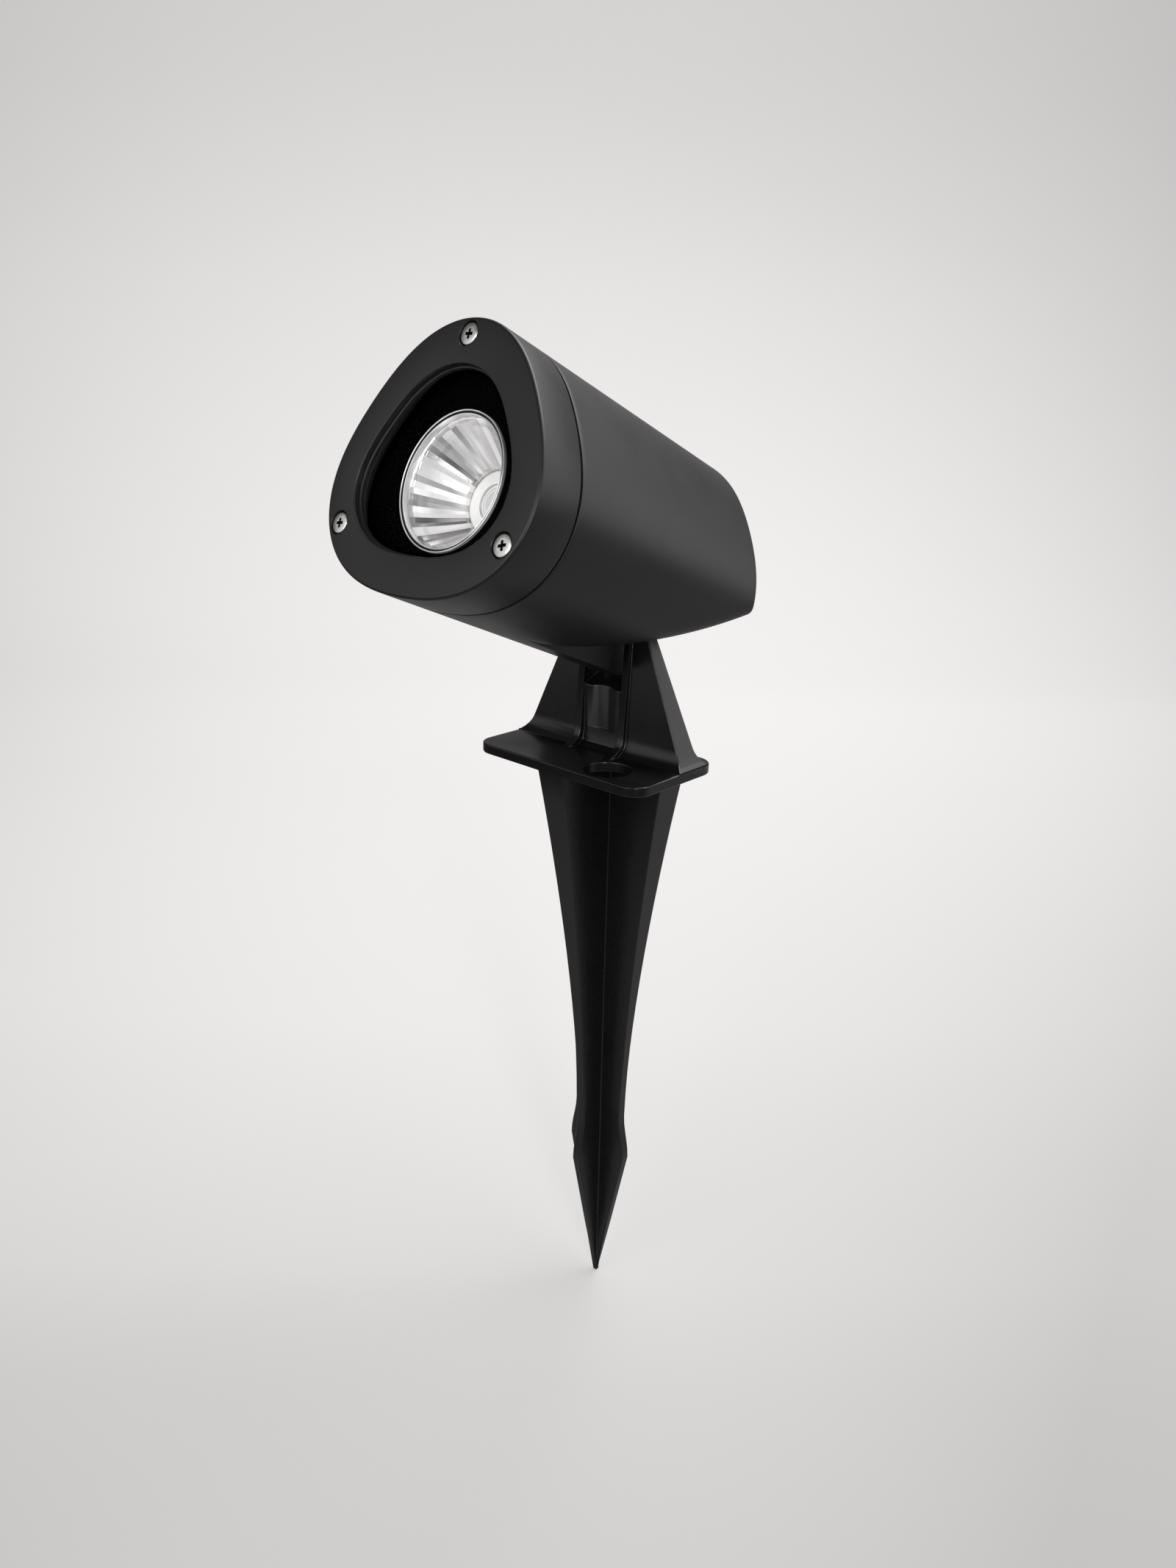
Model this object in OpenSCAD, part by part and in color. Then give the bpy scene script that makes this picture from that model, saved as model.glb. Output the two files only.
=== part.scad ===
// Garden spike spotlight: a tilting die-cast head with a fluted reflector,
// carried between the ears of a moulded ground stake.
// Frame: +Z up along the stake, origin where the stake's axis leaves the plate's
// underside (soil level), the light points towards -Y and tilts about the X axis.

/* [Head] */
// Mean radius of the head's rounded triangular section
head_r = 34.35; // [32:0.05:38]
// How far the three corners stand out and the three sides lie in from that radius
head_swell = 2.25; // [1:0.05:2.8]
// Width of the section as a share of its height
head_wide_share = 1.07; // [1:0.01:1.1]
// Length of the head from the front face to the rear end
head_len = 93.4; // [86:0.2:110]
// Depth of the front ring, from the front face to the seam
bezel_depth = 13.5; // [12:0.1:15]
// Open gap at the seam between the front ring and the housing
seam_gap = 0.4; // [0.2:0.05:0.8]
// Side wall of the housing
wall = 3; // [2.4:0.1:3.6]
// Rear wall of the housing
rear_wall = 3.5; // [2.5:0.1:5]
// Rounding of the head's outer edges
edge_round = 0.8; // [0.4:0.1:1.2]

/* [Front ring] */
// Mean radius of the light opening
opening_r = 24.2; // [22:0.1:24.6]
// Corner swell of the light opening
opening_swell = 1.8; // [1:0.05:2.2]
// Thickness of the ring's front lip
front_lip = 2.8; // [2.2:0.1:3.2]
// Distance of the ring screws from the head's axis
ring_screw_circle = 32.5; // [31.8:0.05:32.8]
// Shank radius of the ring screws
ring_screw_r = 1.5; // [1.2:0.05:1.6]
// Head radius of the ring screws
ring_head_r = 2.8; // [2.4:0.05:2.9]
// Head height of the ring screws
ring_head_h = 1.9; // [1.4:0.05:2.2]
// Length of the ring screws under the head
ring_screw_len = 18; // [16:0.5:20]
// Depth of the counterbores that sink the ring screws
counterbore_depth = 2.3; // [2:0.1:3]

/* [Glass and seals] */
// Thickness of the front glass
glass_t = 2.8; // [2:0.1:3.2]
// How far the glass reaches past the edge of the opening
glass_lap = 2.4; // [1.6:0.1:2.5]
// Thickness of the seal between glass and lip
glass_seal_t = 0.5; // [0.3:0.05:0.8]
// Thickness of the flat seal in the seam
seam_seal_t = 1.4; // [1.1:0.05:1.8]

/* [Optic] */
// Outer radius of the reflector's rim
rim_r = 17.9; // [16.5:0.05:18.5]
// Radius of the reflector's throat round the light source
throat_r = 8.4; // [7.6:0.1:9.2]
// Depth of the reflector from rim to throat
optic_depth = 15.4; // [14:0.1:16]
// How far the optic's axis lies under the middle of the front face
optic_drop = 1.2; // [0:0.1:2]
// Wall of the reflector
optic_wall = 0.9; // [0.7:0.05:1.2]
// Number of flutes round the reflector
flutes = 30; // [24:2:36]
// Depth of the flutes at the rim
flute_depth = 0.55; // [0.3:0.05:0.7]
// Floor thickness of the black baffle round the reflector
baffle_t = 1.5; // [1.2:0.1:2]

/* [Light source] */
// Radius of the lit disc of the chip
emitter_r = 4.5; // [3.5:0.1:5]
// Side of the square chip board
chip_side = 13.5; // [12:0.1:14]
// Thickness of the chip board
chip_t = 1; // [0.8:0.05:1.1]
// Radius of the white chip holder
holder_r = 17.4; // [17:0.1:19]
// Thickness of the chip holder
holder_t = 2.5; // [2.3:0.1:3]
// Thickness of the aluminium heat plate
heat_plate_t = 4; // [3:0.1:6]
// Length of the standoffs between heat plate and driver board
standoff_len = 10; // [9:0.5:12]
// Thickness of the driver board
board_t = 1.6; // [1.2:0.1:2]

/* [Cable inlet] */
// Radius of the cable that the gland grips
cable_r = 3.5; // [3:0.1:4]
// Thread radius of the gland
gland_r = 6; // [5.8:0.1:6.5]
// How far the gland's closing nut reaches out
gland_nut_len = 9; // [7:0.5:12]
// Height of the gland above the head's axis
gland_rise = 13; // [11:0.5:16]

/* [Hinge] */
// Height of the pivot above the plate
pivot_h = 44; // [43:0.5:48]
// Tilt of the head above level as it stands
rest_tilt = 22; // [18:1:26]
// Slope of the cut underside down to the front while the head is at rest
cut_slope = 6; // [3:0.5:8]
// Distance of the cut underside below the pivot
cut_below = 3.5; // [3:0.1:4]
// Distance of the pivot from the head's rear end
pivot_from_rear = 16.1; // [15.5:0.1:18]
// Distance of the pivot below the head's axis
pivot_drop = 12; // [11.5:0.1:13]
// Radius of the pivot bolt
bolt_r = 2.5; // [2:0.05:2.6]
// Running clearance of the bolt in the lug
bolt_clear = 0.05; // [0.02:0.01:0.1]
// Width of the lug between the ears
lug_w = 13.6; // [12:0.1:14.4]
// Radius of the lug's round end
lug_r = 9.2; // [8.6:0.1:9.4]
// Thickness of each friction washer
friction_t = 0.5; // [0.4:0.05:0.8]
// Thickness of each ear
ear_t = 2.4; // [2:0.1:3]
// Radius of the ears' round top
ear_eye_r = 6.5; // [6:0.1:7]

/* [Stake] */
// Width of the plate
plate_w = 65; // [62:0.5:74]
// Reach of the plate in front of the stake's axis
plate_front = 25.8; // [25.4:0.1:30]
// Reach of the plate behind the stake's axis
plate_back = 11; // [10.5:0.1:14]
// Thickness of the plate
plate_t = 3; // [2.4:0.1:4]
// Corner radius of the plate
plate_corner_r = 6; // [4:0.5:8]
// Length of the stake below the plate
stake_len = 197; // [170:1:230]
// Half width of the side blades at the plate
side_blade_top = 25; // [22:0.5:28]
// Half width of the blades at the waist
blade_waist = 9.8; // [8.5:0.1:10.4]
// Half width of the blades at the swelling above the point
blade_bulge = 11.9; // [11:0.1:13]
// Height of that swelling above the point
bulge_h = 54.8; // [48:0.2:60]
// Blade thickness at the waist
blade_t = 3.2; // [2.8:0.1:4]
// Blade thickness at the plate
blade_root_t = 10.6; // [8:0.1:12]
// Half width of the gussets at their top
gusset_top_half = 14.6; // [13:0.1:16]
// Half width of the gussets at their foot
gusset_foot_half = 28.4; // [26:0.1:29]
// Half thickness of the gussets at their top
gusset_top_t = 2; // [1.7:0.05:2.2]
// Half thickness of the gussets at their foot
gusset_foot_t = 3.9; // [3:0.1:4.4]
// Radius of the cable hole in the plate
cable_hole_r = 7; // [5:0.1:7.4]
// Distance of the cable hole to the side of the stake's axis
cable_hole_x = 14.6; // [14:0.1:17]
// Distance of the cable hole in front of the stake's axis
cable_hole_y = 17.6; // [17:0.1:18]

/* [Hidden] */
$fn = 64;

// Rings in each rounded edge, and along the housing's barrel
round_steps = 3;
body_steps = 9;
// Overrun of every cut past the face it leaves
over = 1;
// Clearance between pieces that slide together
fit = 0.3;
// Clearance round fixed screws and shanks
shank_gap = 0.1;
// Points round a rounded triangular outline
outline_n = 96;
// A length longer than the whole object, for half-space cuts
reach = 3*(head_len+stake_len);

// Depths along the head's axis, measured back from the front face
glass_front = front_lip+glass_seal_t;
glass_back = glass_front+glass_t;
rim_depth = glass_back+fit;
throat_depth = rim_depth+optic_depth;
rim_seat = 0.4*optic_wall;
rim_trim = 0.2*optic_wall;
holder_top = throat_depth;
holder_bottom = holder_top+holder_t;
heat_back = holder_bottom+heat_plate_t;
board_front = heat_back+standoff_len;
board_back = board_front+board_t;
housing_front = bezel_depth+seam_gap;
flange_t = wall;
pivot_back = head_len-pivot_from_rear;

// Outlines, as mean radii of the rounded triangle
glass_r = opening_r+glass_lap;
recess_r = glass_r+fit;
flange_inner_r = glass_r-0.4*wall;
seal_inner_r = recess_r+fit/2;
seal_w = 1.2;
heat_plate_r = flange_inner_r-fit-shank_gap;
board_r = heat_plate_r-wall;

// Screw places: rib screws sit inside the ring screws
rib_screw_circle = heat_plate_r-0.6*wall;
rib_w = 2*wall;
rib_len = standoff_len-2*wall/3;
small_screw_r = 1.5;
small_head_r = 2.6;
small_head_h = 1.8;
counterbore_r = ring_head_r+fit;
cross_w = ring_head_r/4;
cross_len = 0.62*2*ring_head_r;
cross_depth = ring_head_h/2;
standoff_circle = 0.68*board_r;
standoff_r = 2.8;
holder_screw_x = holder_r-small_head_r-fit;

// Light source places
pad_t = 0.5;
emitter_t = 0.4;
lead_r = 0.6;
lead_gap = 1.2;
lead_drop = chip_side/2+holder_t;
lead_hole_r = lead_gap+lead_r+fit;

// Pieces on the driver board
board_room = head_len-rear_wall-board_back;
transformer_size = [15, 12, 0.32*board_room];
transformer_y = 3;
core_flange = 1.5;
capacitor_r = 4;
capacitor_len = 0.25*board_room;
capacitor_x = 5.5;
capacitor_y = -9;
choke_r = 3.2;
choke_len = 0.17*board_room;
choke_x = 14;
choke_y = -4.5;
terminal_size = [14, 7, 0.22*board_room];
terminal_x = 2;
terminal_y = -13;
terminal_ways = 3;

// Gland sizes
gland_collar_r = 1.4*gland_r;
gland_collar_t = 0.6*gland_r;
gland_locknut_t = 0.5*gland_r;
gland_bore_r = cable_r+0.3*wall;
gland_neck_len = gland_nut_len*2/3;

// Hinge places
pivot_z = plate_t+pivot_h;
// The friction washers lie against the ears, a hair off the lug's sides
lug_air = 0.02;
ear_in = lug_w/2+lug_air+friction_t;
ear_out = ear_in+ear_t;
washer_t = 1;
washer_r = 2*bolt_r;
bolt_head_r = 1.84*bolt_r;
bolt_head_h = 1.4*bolt_r;
nut_h = 1.6*bolt_r;
bolt_tail = 0.5*bolt_r;
friction_r = 0.95*ear_eye_r;
pocket_half = ear_out+washer_t+nut_h+bolt_tail+1.2*washer_t;
pocket_r = ear_eye_r+1.35*wall;
cut_angle = rest_tilt+cut_slope;
channel_rise = 0.9*bolt_r;
keel_front = 2*bezel_depth;
// Sharpness of the cut's edge at the rear end, and its gain towards the front
soft_power = 8;
soft_power_gain = 34;
keel_cut_r = 1.1*lug_r;
keel_cut_y = 0.05*lug_r;
keel_cut_z = lug_r+keel_cut_r+0.02*lug_r;
lug_rib_back = 0.5*lug_r;

// Stake places
tip_half = 0.5;
tip_t = 0.8;
tip_full_h = 0.45*bulge_h;
waist_h = 1.28*bulge_h;
thick_from_h = 1.64*bulge_h;
flare_power = 1.55;
thick_power = 1.4;
steps = 14;
gusset_h = pivot_h-ear_eye_r-gusset_top_t/4;
foot_h = 0.13*pivot_h;
gusset_side_flare = 0.8*gusset_top_t;
gusset_face_flare = 1.4*gusset_top_t;
ear_top_half = 0.5*ear_eye_r;
ear_foot_half = 0.82*ear_eye_r;
ear_neck_h = pivot_h-1.7*ear_eye_r;
ear_front_flare = 0.85*ear_eye_r;
ear_back_flare = 0.35*ear_eye_r;
web_front_h = 0.43*pivot_h;
web_back_h = 0.5*pivot_h;
lug_rib_r = pivot_z-plate_t-web_back_h-0.2*wall;
web_half = 1.08*ear_top_half;
web_hollow_r = 1.5*ear_in;
web_hollow_depth = 0.3*web_half;

// Rounded triangle: a radius that swells three times round, stretched in width
function tri_point(r, swell, a) =
    let(q = r+swell*cos(3*(a-90))) [head_wide_share*q*cos(a), q*sin(a)];
function tri_points(r, swell) =
    [for (i = [0:outline_n-1]) tri_point(r, swell, 360*i/outline_n)];
function corner_place(circle, k) =
    let(a = 90+120*k) [head_wide_share*circle*cos(a), circle*sin(a)];
function side_place(circle, k) =
    let(a = 30+120*k) [head_wide_share*circle*cos(a), circle*sin(a)];

// Prism of a rounded triangle between two depths behind the front face
module tri_prism(r, swell, front, back) {
    translate([0, 0, -back])
        linear_extrude(height = back-front)
            polygon(tri_points(r, swell));
}

// Solid through a stack of rings, each a list of points of equal number
module skin(rings) {
    n = len(rings[0]);
    m = len(rings);
    polyhedron(
        points = [for (ring = rings) for (p = ring) p],
        faces = concat(
            [[for (i = [0:n-1]) i]],
            [for (j = [0:m-2]) for (i = [0:n-1])
                let(a = j*n+i, b = j*n+(i+1)%n, c = (j+1)*n+(i+1)%n) [a, c, b]],
            [for (j = [0:m-2]) for (i = [0:n-1])
                let(a = j*n+i, c = (j+1)*n+(i+1)%n, d = (j+1)*n+i) [a, d, c]],
            [[for (i = [n-1:-1:0]) (m-1)*n+i]]
        )
    );
}
function tri_ring(r, swell, depth) =
    [for (p = tri_points(r, swell)) [p[0], p[1], -depth]];

// The same ring with its underside pressed up to the slanted cut, the edge left soft
function cut_height(depth) = -pivot_drop-cut_below/cos(cut_angle)+(depth-pivot_back)*tan(cut_angle);
function cut_power(depth) = soft_power+soft_power_gain*(head_len-depth)/head_len;
function cut_ring(r, swell, depth, lift) =
    let(limit = cut_height(depth)+lift, power = cut_power(depth))
    [for (p = tri_points(r, swell))
        let(k = p[1] < 0 ? pow(1+pow(p[1]/limit, power), -1/power) : 1)
        [k*p[0], k*p[1], -depth]];

// Places the head, modelled with its front face on z = 0 and its axis on z
module head_frame() {
    translate([0, 0, pivot_z])
        rotate([90-rest_tilt, 0, 0])
            translate([0, pivot_drop, pivot_back])
                children();
}
// Inside the head's frame: origin on the pivot, z upright as the head stands
module pivot_frame() {
    translate([0, -pivot_drop, -pivot_back])
        rotate([rest_tilt-90, 0, 0])
            children();
}
module x_rod(r, half, x = 0) {
    translate([x-half, 0, 0])
        rotate([0, 90, 0])
            cylinder(r = r, h = 2*half);
}
// Rod along the head's axis between two depths
module axis_rod(r, front, back) {
    translate([0, 0, -back])
        cylinder(r = r, h = back-front);
}
module hex_rod(r, front, back) {
    translate([0, 0, -back])
        cylinder(r = r, h = back-front, $fn = 6);
}
module pan_screw(shank_r, cap_r, cap_h, under_cap, length) {
    axis_rod(cap_r, under_cap-cap_h, under_cap);
    axis_rod(shank_r, under_cap, under_cap+length);
}

// Housing
module housing_body() {
    skin(concat(
        [for (i = [0:round_steps])
            let(a = 90*i/round_steps, inset = edge_round*(1-sin(a)))
            cut_ring(head_r-inset, head_swell, head_len-edge_round*(1-cos(a)), inset)],
        [for (i = [1:body_steps])
            cut_ring(head_r, head_swell, head_len-edge_round-(head_len-edge_round-housing_front)*i/body_steps, 0)]
    ));
}
// Keel: the slab of the barrel that stays under the cut and carries the lug
module keel() {
    difference() {
        intersection() {
            tri_prism(head_r, head_swell, keel_front, head_len-edge_round);
            translate([-lug_w/2, -head_r, -head_len])
                cube([lug_w, head_r, head_len]);
        }
        pivot_frame() keel_rear_cut();
    }
    intersection() {
        tri_prism(head_r, head_swell, keel_front, head_len-edge_round);
        pivot_frame() lug_rib();
    }
}
// Rib that stiffens the lug, as far round as the stake's web lets it turn
module lug_rib() {
    intersection() {
        x_rod(lug_rib_r, wall/2);
        translate([-wall, lug_rib_back-reach, -reach])
            cube([2*wall, reach, reach]);
    }
}
// Side view of what stays of the keel under the cut: all but its hollowed rear
module keel_rear_cut() {
    rotate([90, 0, 90])
        translate([0, 0, -lug_w/2-over])
            linear_extrude(height = lug_w+2*over)
                difference() {
                    union() {
                        translate([keel_cut_y, -keel_cut_z])
                            circle(r = keel_cut_r);
                        rotate(cut_slope)
                            translate([keel_cut_y, -reach-cut_below])
                                square([reach, reach]);
                    }
                    circle(r = lug_r);
                }
}
// Room for the ears, the bolt's head and its nut, on both sides of the lug
module ear_pockets() {
    half = (pocket_half-lug_w/2)/2;
    for (s = [-1, 1]) {
        x_rod(pocket_r, half, s*(lug_w/2+half));
        translate([s > 0 ? lug_w/2 : -pocket_half, 0, -pocket_r])
            cube([2*half, reach, pocket_r+channel_rise]);
    }
}
module keep_floor() {
    rotate([cut_slope, 0, 0])
        translate([-reach, -reach, -reach-cut_below+wall])
            cube([2*reach, 2*reach, reach]);
    x_rod(pocket_r+wall, pocket_half+wall);
    translate([-pocket_half-wall, 0, -pocket_r])
        cube([2*(pocket_half+wall), reach, pocket_r+channel_rise+wall]);
}
module housing() {
    color("#26272a")
        head_frame()
            difference() {
                union() {
                    difference() {
                        union() {
                            housing_body();
                            keel();
                        }
                        pivot_frame() ear_pockets();
                        difference() {
                            tri_prism(head_r-wall, head_swell, housing_front+flange_t, head_len-rear_wall);
                            pivot_frame() keep_floor();
                        }
                        tri_prism(flange_inner_r, opening_swell, housing_front-over, housing_front+flange_t+over);
                    }
                    intersection() {
                        tri_prism(head_r-wall/2, head_swell, housing_front+wall/2, heat_back+rib_len);
                        housing_bosses();
                    }
                }
                for (k = [0:2]) {
                    translate(corner_place(ring_screw_circle, k))
                        axis_rod(ring_screw_r+shank_gap/2, housing_front-over, counterbore_depth+ring_screw_len+over);
                    translate(corner_place(rib_screw_circle, k))
                        axis_rod(small_screw_r+shank_gap/2, heat_back-over, heat_back+rib_len-wall/2);
                }
                difference() {
                    tri_prism(seal_inner_r+seal_w+shank_gap, opening_swell, housing_front-over, bezel_depth+seam_seal_t);
                    tri_prism(seal_inner_r-shank_gap, opening_swell, housing_front-2*over, bezel_depth+seam_seal_t+over);
                }
                pivot_frame() x_rod(bolt_r+bolt_clear, lug_w);
                translate([0, gland_rise, 0])
                    axis_rod(gland_r+shank_gap, head_len-rear_wall-over, head_len+over);
            }
}
module housing_bosses() {
    for (k = [0:2]) {
        translate(corner_place(ring_screw_circle, k))
            axis_rod(ring_screw_r+2.2*wall/3, housing_front, counterbore_depth+ring_screw_len+2*wall/3);
        rotate([0, 0, 120*k])
            translate([-rib_w/2, rib_screw_circle-rib_w/2, -heat_back-rib_len])
                cube([rib_w, head_r, rib_len]);
    }
}

// Front ring
module bezel() {
    color("#2b2c2e")
        head_frame()
            difference() {
                skin(concat(
                    [tri_ring(head_r, head_swell, bezel_depth)],
                    [for (i = [0:round_steps])
                        let(a = 90*i/round_steps)
                        tri_ring(head_r-edge_round*(1-cos(a)), head_swell, edge_round*(1-sin(a)))]
                ));
                tri_prism(opening_r, opening_swell, -over, front_lip+over);
                tri_prism(recess_r, opening_swell, front_lip, bezel_depth+over);
                for (k = [0:2])
                    translate(corner_place(ring_screw_circle, k)) {
                        axis_rod(counterbore_r, -over, counterbore_depth);
                        axis_rod(ring_screw_r+shank_gap, 0, bezel_depth+over);
                    }
            }
}
module ring_screws() {
    color("silver")
        head_frame()
            for (k = [0:2])
                translate(corner_place(ring_screw_circle, k))
                    difference() {
                        pan_screw(ring_screw_r, ring_head_r, ring_head_h, counterbore_depth, ring_screw_len);
                        for (a = [0, 90])
                            rotate([0, 0, a])
                                translate([-cross_len/2, -cross_w/2, -counterbore_depth+ring_head_h-cross_depth])
                                    cube([cross_len, cross_w, cross_depth+over]);
                    }
}
module seam_seal() {
    color("#141414")
        head_frame()
            difference() {
                tri_prism(seal_inner_r+seal_w, opening_swell, bezel_depth, bezel_depth+seam_seal_t);
                tri_prism(seal_inner_r, opening_swell, bezel_depth-over, bezel_depth+seam_seal_t+over);
            }
}
module glass() {
    color("lightcyan", 0.3)
        head_frame()
            tri_prism(glass_r, opening_swell, glass_front, glass_back);
}
module glass_seal() {
    color("#141414")
        head_frame()
            difference() {
                tri_prism(glass_r, opening_swell, front_lip, glass_front);
                tri_prism(opening_r+fit, opening_swell, front_lip-over, glass_front+over);
            }
}
module baffle() {
    color("#0c0c0d")
        head_frame()
            difference() {
                tri_prism(glass_r, opening_swell, glass_back, housing_front);
                tri_prism(glass_r-baffle_t, opening_swell, glass_back-over, rim_depth+optic_wall);
                tri_prism(glass_r-baffle_t, opening_swell, rim_depth+optic_wall+baffle_t, housing_front+over);
                on_optic() axis_rod(rim_r-rim_seat, 0, head_len);
            }
}

// The optic's axis, a little under the middle of the front face
module on_optic() {
    translate([0, -optic_drop, 0])
        children();
}
// Reflector: a turned shell whose inner face carries flutes that fade to the throat
function optic_r(t) = throat_r+(rim_r-optic_wall-throat_r)*pow(t, 0.8);
function flute_ring(t, lift) =
    [for (i = [0:2*flutes-1])
        let(a = 180*i/flutes, r = optic_r(min(t, 1))-(i%2)*flute_depth*t)
        [r*cos(a), r*sin(a), -throat_depth+optic_depth*t+lift]];
module reflector() {
    rows = 7;
    color("#e8eaec")
        head_frame()
            on_optic() difference() {
                rotate_extrude($fn = 96)
                    polygon(concat(
                        [for (j = [0:rows]) let(t = j/rows*(1-optic_wall/optic_depth)) [optic_r(t)+optic_wall-rim_trim*t, -throat_depth+optic_depth*t]],
                        [[rim_r, -rim_depth-optic_wall], [rim_r, -rim_depth], [0, -rim_depth], [0, -throat_depth]]
                    ));
                skin(concat(
                    [flute_ring(0, -over)],
                    [for (j = [0:rows]) flute_ring(j/rows, 0)],
                    [flute_ring(1, over)]
                ));
            }
}

// Light source
module chip_holder() {
    color("white")
        head_frame()
            on_optic() difference() {
                axis_rod(holder_r, holder_top, holder_bottom);
                axis_rod(emitter_r+fit, holder_top-over, holder_bottom+over);
                translate([-(chip_side+fit)/2, -(chip_side+fit)/2, -holder_bottom-over])
                    cube([chip_side+fit, chip_side+fit, over+pad_t+chip_t]);
                for (s = [-1, 1])
                    translate([s*holder_screw_x, 0, 0])
                        axis_rod(small_screw_r+shank_gap, holder_top-over, holder_bottom+over);
            }
}
module holder_screws() {
    color("silver")
        head_frame()
            on_optic() for (s = [-1, 1])
                translate([s*holder_screw_x, 0, 0])
                    pan_screw(small_screw_r, small_head_r, small_head_h, holder_top, holder_t+0.8*heat_plate_t);
}
module chip_board() {
    color("gainsboro")
        head_frame()
            on_optic() translate([-chip_side/2, -chip_side/2, -holder_bottom+pad_t])
                cube([chip_side, chip_side, chip_t]);
}
module emitter() {
    color("khaki")
        head_frame()
            on_optic() axis_rod(emitter_r, holder_bottom-pad_t-chip_t-emitter_t, holder_bottom-pad_t-chip_t);
}
module thermal_pad() {
    color("lightblue")
        head_frame()
            on_optic() translate([-chip_side/2, -chip_side/2, -holder_bottom])
                cube([chip_side, chip_side, pad_t]);
}
module heat_plate() {
    color("#b9bcc0")
        head_frame()
            difference() {
                tri_prism(heat_plate_r, opening_swell, holder_bottom, heat_back);
                for (k = [0:2]) {
                    translate(corner_place(rib_screw_circle, k))
                        axis_rod(small_screw_r+shank_gap, 0, head_len);
                    translate(side_place(standoff_circle, k))
                        axis_rod(small_screw_r+shank_gap, heat_back-0.6*heat_plate_t, head_len);
                }
                on_optic() for (s = [-1, 1])
                    translate([s*holder_screw_x, 0, 0])
                        axis_rod(small_screw_r+shank_gap, 0, holder_bottom+0.9*heat_plate_t);
                translate([0, -lead_drop, 0])
                    axis_rod(lead_hole_r, 0, head_len);
            }
}
module plate_screws() {
    color("silver")
        head_frame()
            for (k = [0:2])
                translate(corner_place(rib_screw_circle, k))
                    pan_screw(small_screw_r, small_head_r, small_head_h, holder_bottom, heat_plate_t+rib_len-wall);
}
module chip_leads() {
    color("crimson")
        head_frame()
            for (s = [-1, 1])
                translate([s*lead_gap, -lead_drop, 0])
                    axis_rod(lead_r, holder_bottom, board_front);
}

// Driver
module driver_board() {
    color("darkgreen")
        head_frame()
            difference() {
                tri_prism(board_r, opening_swell, board_front, board_back);
                for (k = [0:2])
                    translate(side_place(standoff_circle, k))
                        axis_rod(small_screw_r+shank_gap, 0, head_len);
            }
}
module board_standoffs() {
    color("goldenrod")
        head_frame()
            for (k = [0:2])
                translate(side_place(standoff_circle, k))
                    difference() {
                        union() {
                            hex_rod(standoff_r, heat_back, board_front);
                            axis_rod(small_screw_r, heat_back-0.5*heat_plate_t, heat_back);
                        }
                        axis_rod(small_screw_r+shank_gap/2, board_front-0.6*standoff_len, board_front+over);
                    }
}
module board_screws() {
    color("silver")
        head_frame()
            for (k = [0:2])
                translate(side_place(standoff_circle, k))
                    mirror([0, 0, 1]) {
                        translate([0, 0, board_back])
                            cylinder(r = small_head_r, h = small_head_h);
                        translate([0, 0, board_front-0.5*standoff_len])
                            cylinder(r = small_screw_r, h = board_t+0.5*standoff_len);
                    }
}
module transformer() {
    color("#3a3226")
        head_frame()
            translate([-transformer_size[0]/2, transformer_y, -board_back-transformer_size[2]]) {
                cube([transformer_size[0], transformer_size[1], transformer_size[2]]);
                for (z = [0, transformer_size[2]-core_flange])
                    translate([-core_flange, -core_flange, z])
                        cube([transformer_size[0]+2*core_flange, transformer_size[1]+2*core_flange, core_flange]);
            }
}
module capacitor() {
    color("#1d2433")
        head_frame()
            translate([-capacitor_x, capacitor_y, 0])
                difference() {
                    axis_rod(capacitor_r, board_back, board_back+capacitor_len);
                    rotate_extrude()
                        translate([capacitor_r, -board_back-capacitor_len+capacitor_r/2])
                            circle(r = capacitor_r/10, $fn = 16);
                }
}
module choke() {
    color("#5a4a3a")
        head_frame()
            translate([-choke_x, choke_y, 0]) {
                axis_rod(choke_r, board_back, board_back+choke_len/5);
                axis_rod(0.7*choke_r, board_back+choke_len/5, board_back+choke_len*4/5);
                axis_rod(choke_r, board_back+choke_len*4/5, board_back+choke_len);
            }
}
module terminal_block() {
    way = terminal_size[0]/terminal_ways;
    color("seagreen")
        head_frame()
            translate([terminal_x, terminal_y, -board_back-terminal_size[2]])
                difference() {
                    cube([terminal_size[0], terminal_size[1], terminal_size[2]]);
                    for (i = [0:terminal_ways-1])
                        translate([way*(i+0.5), terminal_size[1]/2, -over])
                            cylinder(r = way/3, h = terminal_size[2]/2+over);
                }
}

// Cable inlet: the gland in the rear wall
module on_gland() {
    head_frame()
        translate([0, gland_rise, 0])
            children();
}
module gland_body() {
    color("#1a1a1b")
        on_gland()
            difference() {
                union() {
                    axis_rod(gland_r, head_len-rear_wall-gland_locknut_t-wall/2, head_len);
                    hex_rod(gland_collar_r, head_len, head_len+gland_collar_t);
                    axis_rod(gland_r, head_len+gland_collar_t, head_len+gland_collar_t+gland_neck_len);
                }
                axis_rod(gland_bore_r, 0, head_len+gland_collar_t);
                axis_rod(gland_bore_r, head_len+gland_collar_t-over, head_len+reach);
            }
}
module gland_seal() {
    color("#101010")
        on_gland()
            difference() {
                axis_rod(gland_bore_r-shank_gap/2, head_len+gland_collar_t+gland_neck_len-gland_neck_len, head_len+gland_collar_t+gland_neck_len);
                axis_rod(cable_r, 0, head_len+reach);
            }
}
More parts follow.
